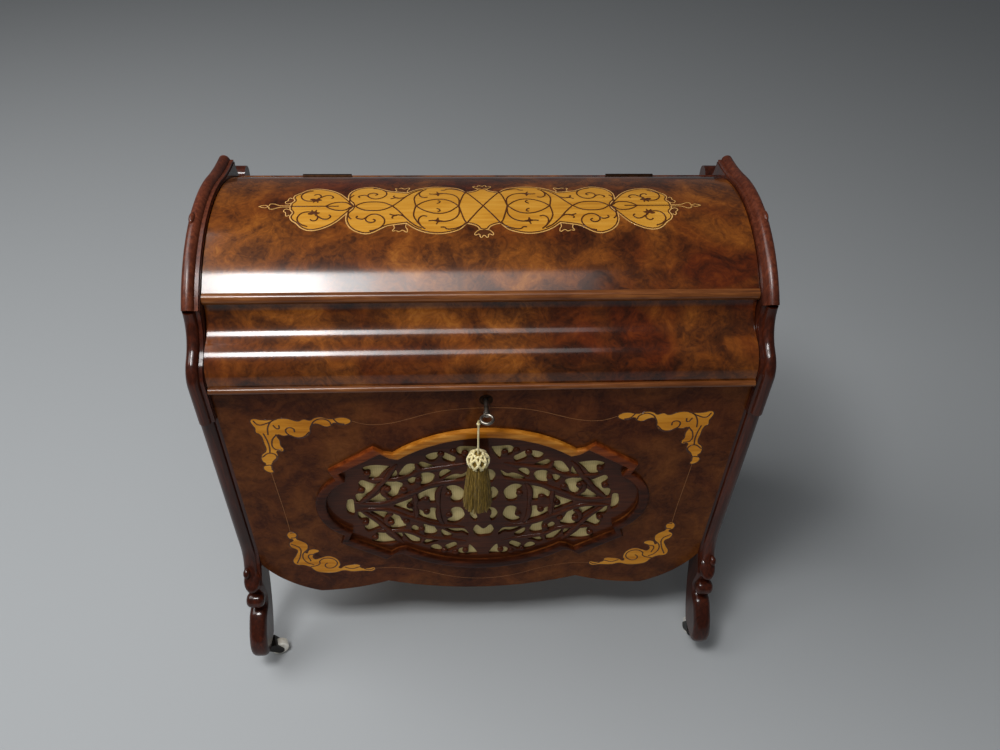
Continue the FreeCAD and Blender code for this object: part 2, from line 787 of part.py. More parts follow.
# The slips that hold the fret and the silk: stops inside the rebate, and outer slips over them, of which the
# side ones stand on the floor of the box
slip = size("silk_slip")
SLIP_PLACES = {
    "top_slip": (at(fret_low.x - slip, fret_high.y - slip), at(fret_high.x + slip, fret_high.y + slip)),
    "low_slip": (at(fret_low.x - slip, fret_low.y - slip), at(fret_high.x + slip, fret_low.y + slip)),
    "left_slip": (at(fret_low.x - slip, inside_low), at(fret_low.x + slip, fret_high.y - slip)),
    "right_slip": (at(fret_high.x - slip, inside_low), at(fret_high.x + slip, fret_high.y - slip)),
}
STOP_PLACES = {
    "top_stop": (at(fret_low.x, fret_high.y - slip), fret_high),
    "low_stop": (fret_low, at(fret_high.x, fret_low.y + slip)),
    "left_stop": (at(fret_low.x, fret_low.y + slip), at(fret_low.x + slip, fret_high.y - slip)),
    "right_stop": (at(fret_high.x - slip, fret_low.y + slip), at(fret_high.x, fret_high.y - slip)),
}
slips = []
for places, thick, start in ((SLIP_PLACES, "silk_slip", PANEL_BACK), (STOP_PLACES, "silk_set", SILK_BACK)):
    for name, (low, high) in places.items():
        lengths = (f"{high.x - low.x}", cell(thick), f"{high.y - low.y}")
        slips.append(box(name, lengths, (f"{low.x}", start, f"{low.y}")))
group("silk_slips", slips)


# Back, floor, rear rail and the partitions for the music

floor_lengths = (cell("inner_width"), "Sizes.back_face - " + PANEL_BACK, cell("floor_board"))
floor = box("bottom_board", floor_lengths, ("-Sizes.inner_width / 2", PANEL_BACK, cell("floor_height")))
keep(floor, "bottom_board")

rail_start = size("hinge_angle") + math.degrees(size("hinge_gap") / 2 / lid_radius)
lid_end = size("hinge_angle") - math.degrees(size("hinge_gap") / 2 / lid_radius)
back_outer = size("back_face") + size("back_board_thick")
rail_end = math.degrees(math.asin((back_outer - size("barrel_depth")) / lid_radius))
rail_foot = on_circle(barrel, lid_inner, rail_end)
BEAD_TURN = 0.8
BEAD_RISE = 2.2
bead_start = on_circle(barrel, lid_radius, rail_start + BEAD_TURN)
bead_crown = on_circle(barrel, lid_radius + BEAD_RISE, rail_start + 2 * BEAD_TURN)
bead_end = on_circle(barrel, lid_radius, rail_start + 3 * BEAD_TURN)
rail_middle = (rail_start + rail_end) / 2
rail_edges = chain(
    on_circle(barrel, lid_radius, rail_start),
    bead_start,
    (bead_crown, bead_end),
    (on_circle(barrel, lid_radius, rail_middle), on_circle(barrel, lid_radius, rail_end)),
    rail_foot,
    (on_circle(barrel, lid_inner, rail_middle), on_circle(barrel, lid_inner, rail_start)),
    on_circle(barrel, lid_radius, rail_start),
)
rear_rail = profile_body("rear_rail", rail_edges, cell("inner_width"), "-Sizes.inner_width / 2")

back_height = f"{rail_foot.y} - Sizes.floor_height"
back_lengths = (cell("inner_width"), cell("back_board_thick"), back_height)
back = box("back_board", back_lengths, ("-Sizes.inner_width / 2", cell("back_face"), cell("floor_height")))
keep(back, "back_board")

partition_top = inside_low + size("partition_height")
DIP_START = 0.7
partition_edges = chain(
    at(-half_inner, inside_low),
    at(half_inner, inside_low),
    at(half_inner, partition_top),
    at(half_inner * DIP_START, partition_top),
    (at(0, partition_top - size("partition_dip")), at(-half_inner * DIP_START, partition_top)),
    at(-half_inner, partition_top),
    at(-half_inner, inside_low),
)
PARTITIONS = {"front_partition": "front_partition_depth", "rear_partition": "rear_partition_depth"}
for label, place in PARTITIONS.items():
    facing_body(label, partition_edges, cell("partition_board"), f"Sizes.{place} + Sizes.partition_board")

INSIDE_LOW = "Sizes.floor_height + Sizes.floor_board"
SLIP_LOWS = {"left": "-Sizes.inner_width / 2", "right": "Sizes.inner_width / 2 - Sizes.partition_slip"}
for name, low in SLIP_LOWS.items():
    strips = []
    for label, place in PARTITIONS.items():
        before = f"Sizes.{place} - Sizes.partition_slip"
        behind = f"Sizes.{place} + Sizes.partition_board"
        for depth in (before, behind):
            lengths = (cell("partition_slip"), cell("partition_slip"), cell("partition_height"))
            strips.append(box(f"{name}_{label}_slip", lengths, (low, depth, INSIDE_LOW)))
    group(name + "_partition_slips", strips)

# Glue blocks under the floor, notched over the low slip where the floor lies close above it
BLOCK_PLACES = (-0.75, -0.25, 0.25, 0.75)
block_size = size("glue_block")
block_corner = at(panel_back, size("floor_height"))
block_edges = polygon(block_corner, block_corner + at(block_size, 0), block_corner - at(0, block_size))
slip_top = SLIP_PLACES["low_slip"][1].y
NOTCH_LENGTHS = (cell("inner_width"), cell("silk_slip"), "2 * Sizes.glue_block")
NOTCH_CORNER = ("-Sizes.inner_width / 2", PANEL_BACK, f"{slip_top} - 2 * Sizes.glue_block")
blocks = []
for share in BLOCK_PLACES:
    block = doc.addObject("PartDesign::Body", "glue_block")
    add_pad(block, add_sketch(block, "YZ_Plane", block_edges), "2 * Sizes.glue_block")
    block.setExpression("Placement.Base.x", f"{share} * Sizes.inner_width / 2 - Sizes.glue_block")
    blocks.append(cut("notched_block", block, box("slip_notch", NOTCH_LENGTHS, NOTCH_CORNER)))
group("glue_blocks", blocks)


# Lid: barrel, lip, ogee front, bead, cheeks


def sector(low_angle, high_angle):
    middle = (low_angle + high_angle) / 2
    return chain(
        on_circle(barrel, lid_radius, low_angle),
        (on_circle(barrel, lid_radius, middle), on_circle(barrel, lid_radius, high_angle)),
        on_circle(barrel, lid_inner, high_angle),
        (on_circle(barrel, lid_inner, middle), on_circle(barrel, lid_inner, low_angle)),
        on_circle(barrel, lid_radius, low_angle),
    )


lid_barrel = profile_body("lid_barrel", sector(-size("lip_angle"), lid_end), LID_LENGTH, LID_LOW)

lip_upper = on_circle(barrel, lid_radius, -size("lip_angle"))
lip_inner = on_circle(barrel, lid_inner, -size("lip_angle"))
ogee_top = at(size("ogee_top_depth"), size("ogee_top"))
ogee_board = size("ogee_board")
lip_nose = at(ogee_top.x - size("lip_reach"), (lip_upper.y + ogee_top.y) / 2)
lip_edges = chain(
    lip_upper,
    (lip_nose, ogee_top),
    at(ogee_top.x + ogee_board, ogee_top.y),
    lip_inner,
    lip_upper,
)
profile_body("lid_lip", lip_edges, LID_LENGTH, LID_LOW)

OGEE_TURN = 75
bead_top = lid_bottom + size("bead_height")
ogee_front = at(size("ogee_front"), size("ogee_front_height"))
ogee_steps = double_curve(ogee_top, ogee_front, size("ogee_radius"), OGEE_TURN)
ogee_edges = chain(
    ogee_top,
    *ogee_steps,
    at(ogee_front.x, bead_top),
    at(ogee_front.x + ogee_board, bead_top),
    at(ogee_front.x + ogee_board, ogee_front.y),
    at(ogee_top.x + ogee_board, ogee_top.y - ogee_board),
    at(ogee_top.x + ogee_board, ogee_top.y),
    ogee_top,
)
profile_body("lid_ogee", ogee_edges, LID_LENGTH, LID_LOW)

bead_half = size("bead_height") / 2
bead_back = ogee_front.x + ogee_board
bead_edges = chain(
    at(ogee_front.x, lid_bottom),
    at(bead_back, lid_bottom),
    at(bead_back, bead_top),
    at(ogee_front.x, bead_top),
    (at(ogee_front.x - size("bead_reach"), lid_bottom + bead_half), at(ogee_front.x, lid_bottom)),
)
bead_strip = profile_strip("bead_strip", bead_edges, LID_LENGTH, LID_LOW)

CHEEK_STOP = 2
cheek_edges = chain(
    at(bead_back, bead_top),
    at(bead_back, ogee_front.y),
    at(ogee_top.x + ogee_board, ogee_top.y - ogee_board),
    at(ogee_top.x + ogee_board, ogee_top.y),
    lip_inner,
    (on_circle(barrel, lid_inner, 0), on_circle(barrel, lid_inner, lid_end - CHEEK_STOP)),
    at(bead_back, bead_top),
)
profile_body("lid_left_cheek", cheek_edges, cell("cheek_board"), LID_LOW)
CHEEK_LOW = "Sizes.inner_width / 2 - Sizes.side_gap - Sizes.cheek_board"
profile_body("lid_right_cheek", cheek_edges, cell("cheek_board"), CHEEK_LOW)


# Hinges: drawn about their own pin, with depth along the barrel's skin and height along its radius

AXIS_RISE = 0.6
LEAF_SPACE = 0.2
hinge_axis = on_circle(barrel, lid_radius + AXIS_RISE, size("hinge_angle"))
hinge_tilt = Rotation(Vector(1, 0, 0), -size("hinge_angle"))
half_hinge = size("hinge_length") / 2
third = size("hinge_length") / 3
knuckle = size("knuckle_radius")
relief = knuckle + size("running_gap") + LEAF_SPACE
leaf_low = -size("leaf_depth") - AXIS_RISE
leaf_far = LEAF_SPACE + size("leaf_plate")
hinge_places = (-size("hinge_offset"), size("hinge_offset"))


def tilted(along, out):
    """A point of the end profile, given along the skin and out along the radius from a hinge pin."""
    turned = hinge_tilt.multVec(Vector(0, along, out))
    return hinge_axis + at(turned.y, turned.z)


def relief_outline(side):
    """Stepped housing for a knuckle and a leaf, on the lid's side (-1) or the rail's side (1)."""
    far = side * (leaf_far + size("shaft_gap"))
    deep = leaf_low - size("shaft_gap")
    return polygon(
        tilted(0, knuckle),
        tilted(side * relief, knuckle),
        tilted(side * relief, -relief),
        tilted(far, -relief),
        tilted(far, deep),
        tilted(0, deep),
    )


HOUSING = "Sizes.hinge_length + 2 * Sizes.running_gap"
for body, side, low in ((lid_barrel, -1, LID_LOW), (rear_rail, 1, "-Sizes.inner_width / 2")):
    for sign in (-1, 1):
        offset = f"{sign} * Sizes.hinge_offset - ({low})"
        add_pocket(body, add_sketch(body, "YZ_Plane", relief_outline(side), offset), HOUSING, both=True)


def hinge_leaf(name, place, side, spans):
    """One leaf: a plate, and a knuckle with its neck for each span along the pin."""
    near = LEAF_SPACE if side > 0 else -leaf_far
    plate_low = Vector(-half_hinge, near, leaf_low)
    plate_high = -relief
    length = size("hinge_length")
    parts = [Part.makeBox(length, size("leaf_plate"), plate_high - leaf_low, plate_low)]
    for low, high in spans:
        neck = Part.makeBox(high - low, size("leaf_plate"), -plate_high, Vector(low, near, plate_high))
        roll = Part.makeCylinder(knuckle, high - low, Vector(low, 0, 0), Vector(1, 0, 0))
        parts += [neck, roll]
    bore_radius = size("hinge_pin_radius") + size("shaft_gap")
    bore = Part.makeCylinder(bore_radius, length, Vector(-half_hinge, 0, 0), Vector(1, 0, 0))
    leaf = doc.addObject("Part::Feature", name)
    leaf.Shape = parts[0].multiFuse(parts[1:]).cut(bore).removeSplitter()
    leaf.Placement = Placement(Vector(place, hinge_axis.x, hinge_axis.y), hinge_tilt)
    return leaf


gap = size("running_gap")
middle_span = [(-third / 2 + gap / 2, third / 2 - gap / 2)]
outer_spans = [(-half_hinge, -third / 2 - gap / 2), (third / 2 + gap / 2, half_hinge)]
group("lid_hinge_leaves", [hinge_leaf("lid_leaf", x, -1, middle_span) for x in hinge_places])
group("case_hinge_leaves", [hinge_leaf("case_leaf", x, 1, outer_spans) for x in hinge_places])
pins = []
for x in hinge_places:
    pin_place = Placement(Vector(x - half_hinge, hinge_axis.x, hinge_axis.y), ALONG_X)
    pins.append(cylinder("hinge_pin", cell("hinge_pin_radius"), cell("hinge_length"), pin_place))
group("hinge_pins", pins)


# Lock: a box let into the back of the panel, with a bolt that rises into the lid's bead

LOCK_LOW = "Sizes.panel_top - " + LOCK_HEIGHT
CASE_FRONT = PANEL_BACK + " - Sizes.lock_depth"
CAVITY_WIDTH = "Sizes.bolt_width + 4 * Sizes.lock_plate + 2 * Sizes.running_gap"
lock_block = box("lock_block", (cell("lock_width"), cell("lock_depth"), LOCK_HEIGHT),
                 ("-Sizes.lock_width / 2", CASE_FRONT, LOCK_LOW))
cavity = box("lock_cavity",
             (CAVITY_WIDTH, "Sizes.lock_depth - Sizes.lock_plate",
              LOCK_HEIGHT + " - 2 * Sizes.lock_plate"),
             (f"-({CAVITY_WIDTH}) / 2", CASE_FRONT, LOCK_LOW + " + Sizes.lock_plate"))
BOLT_GAP = "Sizes.running_gap"
bolt_slot = box("bolt_slot",
                ("Sizes.bolt_width + 2 * " + BOLT_GAP, "Sizes.bolt_thick + 2 * " + BOLT_GAP,
                 "3 * Sizes.lock_plate"),
                ("-Sizes.bolt_width / 2 - " + BOLT_GAP,
                 PANEL_BACK + " - Sizes.lock_plate - Sizes.bolt_thick - 2 * " + BOLT_GAP,
                 "Sizes.panel_top - 2 * Sizes.lock_plate"))
keep(cut("lock_case", lock_block, fuse("lock_hollow", [cavity, bolt_slot])), "lock_case")


def bolt_outline():
    """The bolt: a plain head, and below it a wider plate with a window that clears the turning key."""
    half = size("bolt_width") / 2
    wide = half + size("lock_plate")
    top = size("panel_top") - size("running_gap")
    bottom = lock_low + size("lock_plate") + size("running_gap")
    shoulder = size("panel_top") - size("lock_plate") - size("bolt_travel") - size("running_gap")
    plate = polygon(
        at(-wide, bottom), at(wide, bottom), at(wide, shoulder), at(half, shoulder),
        at(half, top), at(-half, top), at(-half, shoulder), at(-wide, shoulder))
    clear = 2 * size("running_gap")
    shaft = size("shank_radius") + clear
    reach = size("bit_length") + clear
    below = key_height - size("bolt_travel") - shaft
    return plate + rectangle(at(-reach, below), at(shaft, key_height + reach))


BOLT_BACK = PANEL_BACK + " - Sizes.lock_plate - " + BOLT_GAP
facing_body("lock_bolt", bolt_outline(), cell("bolt_thick"), BOLT_BACK)

STRIKE_FRONT = PANEL_BACK + " - Sizes.lock_depth"
MORTISE_FRONT = PANEL_BACK + " - Sizes.lock_plate - Sizes.bolt_thick - 3 * Sizes.running_gap"
MORTISE_WIDE = "Sizes.bolt_width + 4 * Sizes.running_gap"
MORTISE_DEEP = "Sizes.bolt_thick + 4 * Sizes.running_gap"
STRIKE_PLATE = "Sizes.lock_plate * 0.6"
LID_BOTTOM = "Sizes.panel_top + Sizes.lid_gap"


def strike_block(name, height):
    return box(name, ("2.5 * Sizes.bolt_width", "Sizes.lock_depth", height),
               ("-1.25 * Sizes.bolt_width", STRIKE_FRONT, LID_BOTTOM))


def mortise_block(name):
    height = "Sizes.bolt_travel + Sizes.running_gap - Sizes.lid_gap"
    corner = (f"-({MORTISE_WIDE}) / 2", MORTISE_FRONT, LID_BOTTOM)
    return box(name, (MORTISE_WIDE, MORTISE_DEEP, height), corner)


keep(cut("strike_plate", strike_block("strike_blank", STRIKE_PLATE), mortise_block("strike_hole")),
     "strike_plate")
bead_housing = fuse("bead_housing", [strike_block("strike_seat", STRIKE_PLATE), mortise_block("bolt_hole")])
keep(cut("lid_bead", bead_strip, bead_housing), "lid_bead")


# Key and tassel

key_tip = panel_back - size("lock_plate") - size("running_gap")
bow_centre = Vector(0, size("panel_face") - size("key_reach"), key_height)
shank_end = bow_centre.y + size("bow_radius")
shank_place = Placement(Vector(0, shank_end, key_height), ALONG_Y)
shank = cylinder("key_shank", cell("shank_radius"), f"{key_tip - shank_end}", shank_place)
collar = cylinder("key_collar", "1.45 * Sizes.shank_radius", "1.5 * Sizes.shank_radius", shank_place)
bow = doc.addObject("Part::Torus", "key_bow")
bow.setExpression("Radius1", cell("bow_radius"))
bow.setExpression("Radius2", cell("bow_wire"))
bow.Placement = Placement(bow_centre, Rotation())
bit = box("key_bit", (cell("bit_length"), cell("bolt_thick"), cell("bit_thick")),
          ("-Sizes.bit_length", BOLT_BACK + " - Sizes.bolt_thick", KEY_HEIGHT + " - Sizes.bit_thick / 2"))
keep(fuse("key", [shank, collar, bow, bit]), "key")

swing_reach = size("bow_radius") + size("bow_wire") + size("cord_radius") + size("running_gap")
tassel_depth = bow_centre.y - math.sqrt(swing_reach ** 2 - size("tassel_side") ** 2)
cord_top = key_height + size("cord_radius")
cord_base = Vector(size("tassel_side"), tassel_depth, cord_top - size("cord_drop"))
keep(cylinder("tassel_cord", cell("cord_radius"), cell("cord_drop"), Placement(cord_base, Rotation())),
     "tassel_cord")
head = doc.addObject("PartDesign::Body", "tassel_head")
radius = size("tassel_radius")
neck_drop = math.sqrt(radius ** 2 - size("skirt_top") ** 2)
head_edges = chain(
    at(0, 0),
    (at(radius, -radius), at(size("skirt_top"), -radius - neck_drop)),
    at(0, -radius - neck_drop),
    at(0, 0),
)
head_sketch = add_sketch(head, "XZ_Plane", head_edges)
turning = head.newObject("PartDesign::Revolution", "tassel_turning")
turning.Profile = head_sketch
turning.ReferenceAxis = (head_sketch, ["V_Axis"])
turning.Angle = 360
head.Placement = Placement(cord_base, Rotation())
keep(head, "tassel_head")
skirt = doc.addObject("Part::Cone", "tassel_skirt")
skirt.setExpression("Radius1", cell("skirt_bottom"))
skirt.setExpression("Radius2", cell("skirt_top"))
skirt.setExpression("Height", cell("skirt_length"))
skirt_base = cord_base - Vector(0, 0, radius + neck_drop + size("skirt_length"))
skirt.Placement = Placement(skirt_base, Rotation())
keep(skirt, "tassel_skirt")


# Castors, each drawn with its spindle at the origin and its roller trailing along X, then placed

CASTORS = {
    "front_left": (-1, -1, 18),
    "front_right": (1, -1, 90),
    "rear_left": (-1, 1, 0),
    "rear_right": (1, 1, 180),
}
plate_low = size("castor_height") - size("castor_plate")
horn_high = plate_low - size("running_gap")
horn_low = horn_high - size("horn_top")
rivet_low = horn_low - size("running_gap") - size("rivet_head")
cheek_inner = size("roller_width") / 2 + size("running_gap") * 1.5
cheek_outer = cheek_inner + size("horn_cheek")
axle_height = size("roller_radius")
trail = size("castor_trail")
UP = Rotation()
HORN_EYE = 1.8
HORN_FRONT = 0.7
HORN_REAR = 0.8
EYE_START = -127


def castor_plate(label, place):
    disc = cylinder("plate_disc", cell("castor_plate_radius"), cell("castor_plate"),
                    Placement(Vector(0, 0, plate_low), UP))
    spindle = cylinder("spindle", cell("spindle_radius"), f"{plate_low - rivet_low}",
                       Placement(Vector(0, 0, rivet_low), UP))
    rivet = cylinder("rivet", cell("rivet_radius"), cell("rivet_head"),
                     Placement(Vector(0, 0, rivet_low), UP))
    plate = keep(fuse(label, [disc, spindle, rivet]), label)
    plate.Placement = place


def castor_horn(label, place):
    """A disc on the spindle with two cheeks that sweep back and down to the axle."""
    body = doc.addObject("PartDesign::Body", label)
    centre = at(0, 0)
    bore = size("spindle_radius") + size("shaft_gap")
    eye = size("axle_radius") * HORN_EYE
    axle = at(trail, axle_height)
    disc = add_sketch(body, "XY_Plane", circle(centre, size("horn_radius")), f"{horn_low}")
    add_pad(body, disc, cell("horn_top"))
    front = at(-size("horn_radius") * HORN_FRONT, horn_high)
    rear = at(trail * HORN_REAR, horn_high)
    cheek = chain(
        front,
        on_circle(axle, eye, EYE_START),
        (axle + at(0, -eye), axle + at(eye, 0)),
        rear,
        front,
    )
    add_pad(body, add_sketch(body, "XZ_Plane", cheek), f"{2 * cheek_outer}", both=True)
    room = rectangle(at(-2 * trail, -trail), at(3 * trail, horn_low))
    add_pocket(body, add_sketch(body, "XZ_Plane", room), f"{2 * cheek_inner}", both=True)
    hole = add_sketch(body, "XY_Plane", circle(centre, bore), f"{horn_high}")
    add_pocket(body, hole, cell("horn_top"))
    pin_hole = circle(axle, size("axle_radius") + size("shaft_gap") / 2)
    add_pocket(body, add_sketch(body, "XZ_Plane", pin_hole), f"{2 * cheek_outer}", both=True)
    body.Placement = place
    keep(body, label)


def castor_roller(label, place):
    body = doc.addObject("PartDesign::Body", label)
    half = size("roller_width") / 2
    bore = size("axle_radius") + size("shaft_gap")
    wide = size("roller_radius")
    chamfer = size("roller_chamfer")
    rim = wide - chamfer
    edges = chain(
        at(bore, -half),
        at(rim, -half),
        at(wide, chamfer - half),
        at(wide, half - chamfer),
        at(rim, half),
        at(bore, half),
        at(bore, -half),
    )
    sketch = add_sketch(body, "XY_Plane", edges)
    turning = body.newObject("PartDesign::Revolution", label + "_turning")
    turning.Profile = sketch
    turning.ReferenceAxis = (sketch, ["V_Axis"])
    turning.Angle = 360
    body.Placement = place.multiply(Placement(Vector(trail, 0, axle_height), UP))
    keep(body, label)


def castor_axle(label, place):
    start = Placement(Vector(trail, -cheek_outer, axle_height), ALONG_Y)
    axle = cylinder(label, cell("axle_radius"), f"{2 * cheek_outer}", place.multiply(start))
    keep(axle, label)


CASTOR_SHARE = 0.7
foot_middle = size("foot_reach") - size("foot_sole") * CASTOR_SHARE
for corner, (side, end, degrees) in CASTORS.items():
    pivot = Vector(side * foot_centre, end * foot_middle, 0)
    place = Placement(pivot, Rotation(Vector(0, 0, 1), degrees))
    castor_plate(corner + "_castor_plate", place)
    castor_horn(corner + "_castor_horn", place)
    castor_roller(corner + "_castor_roller", place)
    castor_axle(corner + "_castor_axle", place)


# Check everything, then write one file for each sub-part

doc.recompute()
for item in doc.Objects:
    if "Invalid" in item.State or "Error" in item.State:
        raise RuntimeError(f"{item.Label} did not build: {item.State}")
for item in subparts:
    if item.Shape.isNull() or not item.Shape.isValid():
        raise RuntimeError(f"{item.Label} has no sound shape")
os.makedirs("parts", exist_ok=True)
for item in subparts:
    item.Shape.exportStep(f"parts/{item.Label}.step")
print(f"{len(subparts)} sub-parts written")
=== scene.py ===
"""Looks of a dome-topped walnut sheet-music box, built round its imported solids.

Pieces are in metres, drawings in millimetres, and the front faces -Y.
"""

import json
import math
import random

import bmesh
import bpy
from mathutils import Matrix, Vector


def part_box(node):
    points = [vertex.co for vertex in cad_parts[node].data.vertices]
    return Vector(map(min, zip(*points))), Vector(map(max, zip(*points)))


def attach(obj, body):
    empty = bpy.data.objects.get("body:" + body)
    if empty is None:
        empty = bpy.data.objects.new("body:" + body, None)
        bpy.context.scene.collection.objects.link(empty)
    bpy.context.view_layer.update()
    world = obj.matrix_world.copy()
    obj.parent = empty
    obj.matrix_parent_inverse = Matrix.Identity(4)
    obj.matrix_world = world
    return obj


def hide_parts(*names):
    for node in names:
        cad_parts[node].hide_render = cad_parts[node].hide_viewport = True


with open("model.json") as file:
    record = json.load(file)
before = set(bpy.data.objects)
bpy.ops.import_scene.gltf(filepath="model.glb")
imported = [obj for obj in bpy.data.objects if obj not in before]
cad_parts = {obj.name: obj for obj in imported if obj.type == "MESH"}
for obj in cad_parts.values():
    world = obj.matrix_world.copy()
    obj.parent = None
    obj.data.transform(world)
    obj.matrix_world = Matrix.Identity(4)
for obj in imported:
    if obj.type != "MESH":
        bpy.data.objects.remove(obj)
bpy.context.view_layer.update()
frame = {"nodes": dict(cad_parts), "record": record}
nodes = frame["nodes"]
collection = bpy.context.scene.collection

MM = 0.001

# Camera of the photograph
CAMERA_AT = Vector((-0.0327, -0.7832, 1.1052))
PITCH, YAW, ROLL = (math.radians(a) for a in (42.4, 4.2, -2.0))
forward = Vector((math.sin(YAW) * math.cos(PITCH), math.cos(YAW) * math.cos(PITCH), -math.sin(PITCH)))
level = Vector((math.cos(YAW), -math.sin(YAW), 0.0))
drop = forward.cross(level)
right = math.cos(ROLL) * level + math.sin(ROLL) * drop
down = -math.sin(ROLL) * level + math.cos(ROLL) * drop
camera = bpy.data.objects.new("camera", bpy.data.cameras.new("camera"))
collection.objects.link(camera)
camera.data.sensor_width = 36.0
camera.data.lens = 28.8
turn = Matrix((right, -down, -forward)).transposed()
camera.matrix_world = Matrix.Translation(CAMERA_AT) @ turn.to_4x4()
bpy.context.scene.camera = camera


# Finishes

RAMP_STARTS_WITH = 2  # stops that a new colour ramp has


def linear(hex_colour):
    """An sRGB hex value as linear colour."""
    channels = [int(hex_colour[i:i + 2], 16) / 255 for i in (1, 3, 5)]
    spread = [c / 12.92 if c <= 0.04045 else ((c + 0.055) / 1.055) ** 2.4 for c in channels]
    return (*spread, 1.0)


def add(tree, kind, inputs=None, stops=(), **settings):
    """Add a node: an input is a value or the socket that feeds it; a ramp's stops are (place, hex)."""
    node = tree.nodes.new(kind)
    for name, value in settings.items():
        setattr(node, name, value)
    for name, value in (inputs or {}).items():
        if isinstance(value, bpy.types.NodeSocket):
            tree.links.new(value, node.inputs[name])
        else:
            node.inputs[name].default_value = value
    for index, (position, colour) in enumerate(stops):
        marks = node.color_ramp.elements
        mark = marks[index] if index < RAMP_STARTS_WITH else marks.new(position)
        mark.position = position
        mark.color = linear(colour)
    return node


def per_mm(millimetres):
    """A texture scale, from the size in millimetres of one feature."""
    return 1.0 / (millimetres * MM)


def blank(name, **sockets):
    """A material with nothing but its shader, whose plain values are set here."""
    material = bpy.data.materials.new(name)
    material.use_nodes = True
    shader = material.node_tree.nodes["Principled BSDF"]
    for socket, value in sockets.items():
        shader.inputs[socket.replace("_", " ")].default_value = value
    return material, material.node_tree, shader


def burr_veneer(name, red_stops, gold_stops, offset, left_light, polish, sheen):
    """Polished burr walnut: red-brown clouds, gold in random patches and, as painted light, towards the
    lamps at the left; swirls, dark pips.
    """
    material, tree, shader = blank(
        name, Roughness=0.42, Specular_IOR_Level=sheen, Coat_Weight=polish, Coat_Roughness=0.13,
        Coat_IOR=1.5)
    place = add(tree, "ShaderNodeTexCoord").outputs["Object"]
    across = add(tree, "ShaderNodeSeparateXYZ", {"Vector": place}).outputs["X"]
    place = add(tree, "ShaderNodeMapping", {"Vector": place, "Location": offset}).outputs["Vector"]
    region = add(tree, "ShaderNodeTexNoise", {
        "Vector": place, "Scale": per_mm(120), "Detail": 2.0, "Roughness": 0.5, "Distortion": 0.6})
    cloud = add(tree, "ShaderNodeTexNoise", {
        "Vector": place, "Scale": per_mm(52), "Detail": 5.0, "Roughness": 0.6, "Distortion": 1.1})
    swirl = add(tree, "ShaderNodeTexNoise", {
        "Vector": place, "Scale": per_mm(15), "Detail": 8.0, "Roughness": 0.68, "Distortion": 2.2})
    figure = add(tree, "ShaderNodeMix", {
        "Factor": 0.38, "A": cloud.outputs["Fac"], "B": swirl.outputs["Fac"]}).outputs["Result"]
    # Painted light: gold grows towards the left, where the lamps are, over random tone from the region
    # noise
    light_and_tone = add(tree, "ShaderNodeMath", {0: across, 1: -left_light, 2: region.outputs["Fac"]},
                operation="MULTIPLY_ADD").outputs["Value"]
    golden = add(tree, "ShaderNodeMapRange", {
        "Value": light_and_tone, "From Min": 0.36, "From Max": 0.60}).outputs["Result"]
    red = add(tree, "ShaderNodeValToRGB", {"Fac": figure}, red_stops).outputs["Color"]
    gold = add(tree, "ShaderNodeValToRGB", {"Fac": figure}, gold_stops).outputs["Color"]
    colour = add(tree, "ShaderNodeMix", {"Factor": golden, "A": red, "B": gold},
                 data_type="RGBA").outputs["Result"]
    eyes = add(tree, "ShaderNodeTexVoronoi", {"Vector": place, "Scale": per_mm(6.5), "Randomness": 1.0})
    small = add(tree, "ShaderNodeMapRange", {
        "Value": eyes.outputs["Distance"], "From Min": 0.10, "From Max": 0.36,
        "To Min": 1.0, "To Max": 0.0})
    grove = add(tree, "ShaderNodeMapRange", {
        "Value": cloud.outputs["Fac"], "From Min": 0.58, "From Max": 0.40, "To Min": 0.0, "To Max": 0.4})
    pip = add(tree, "ShaderNodeMath", {0: small.outputs["Result"], 1: grove.outputs["Result"]},
              operation="MULTIPLY").outputs["Value"]
    spotted = add(tree, "ShaderNodeMix", {"Factor": pip, "A": colour, "B": linear(red_stops[0][1])},
                  data_type="RGBA")
    tree.links.new(spotted.outputs["Result"], shader.inputs["Base Color"])
    wave = add(tree, "ShaderNodeBump", {
        "Strength": 0.04, "Distance": 0.5 * MM, "Height": swirl.outputs["Fac"]}).outputs["Normal"]
    tree.links.new(wave, shader.inputs["Normal"])
    return material


def straight_wood(name, stops, grain_mm, squeeze, polish, pores=0.12, haze=0.08):
    """Straight-grained wood: streaks along the axis that squeeze flattens, pores, clear or hazy polish."""
    material, tree, shader = blank(
        name, Roughness=0.45, Specular_IOR_Level=0.06, Coat_Weight=polish, Coat_Roughness=haze,
        Coat_IOR=1.5)
    place = add(tree, "ShaderNodeTexCoord").outputs["Object"]
    long_place = add(tree, "ShaderNodeMapping", {"Vector": place, "Scale": squeeze}).outputs["Vector"]
    streak = add(tree, "ShaderNodeTexNoise", {
        "Vector": long_place, "Scale": per_mm(grain_mm), "Detail": 6.0, "Roughness": 0.62,
        "Distortion": 0.5})
    shade = add(tree, "ShaderNodeTexNoise", {
        "Vector": place, "Scale": per_mm(90), "Detail": 2.0, "Roughness": 0.5})
    mixed = add(tree, "ShaderNodeMix", {
        "Factor": 0.35, "A": streak.outputs["Fac"], "B": shade.outputs["Fac"]}).outputs["Result"]
    colours = add(tree, "ShaderNodeValToRGB", {"Fac": mixed}, stops).outputs["Color"]
    tree.links.new(colours, shader.inputs["Base Color"])
    pore = add(tree, "ShaderNodeTexNoise", {
        "Vector": long_place, "Scale": per_mm(grain_mm / 5), "Detail": 3.0, "Roughness": 0.7})
    relief = add(tree, "ShaderNodeBump", {
        "Strength": pores, "Distance": 0.4 * MM, "Height": pore.outputs["Fac"]}).outputs["Normal"]
    tree.links.new(relief, shader.inputs["Normal"])
    return material


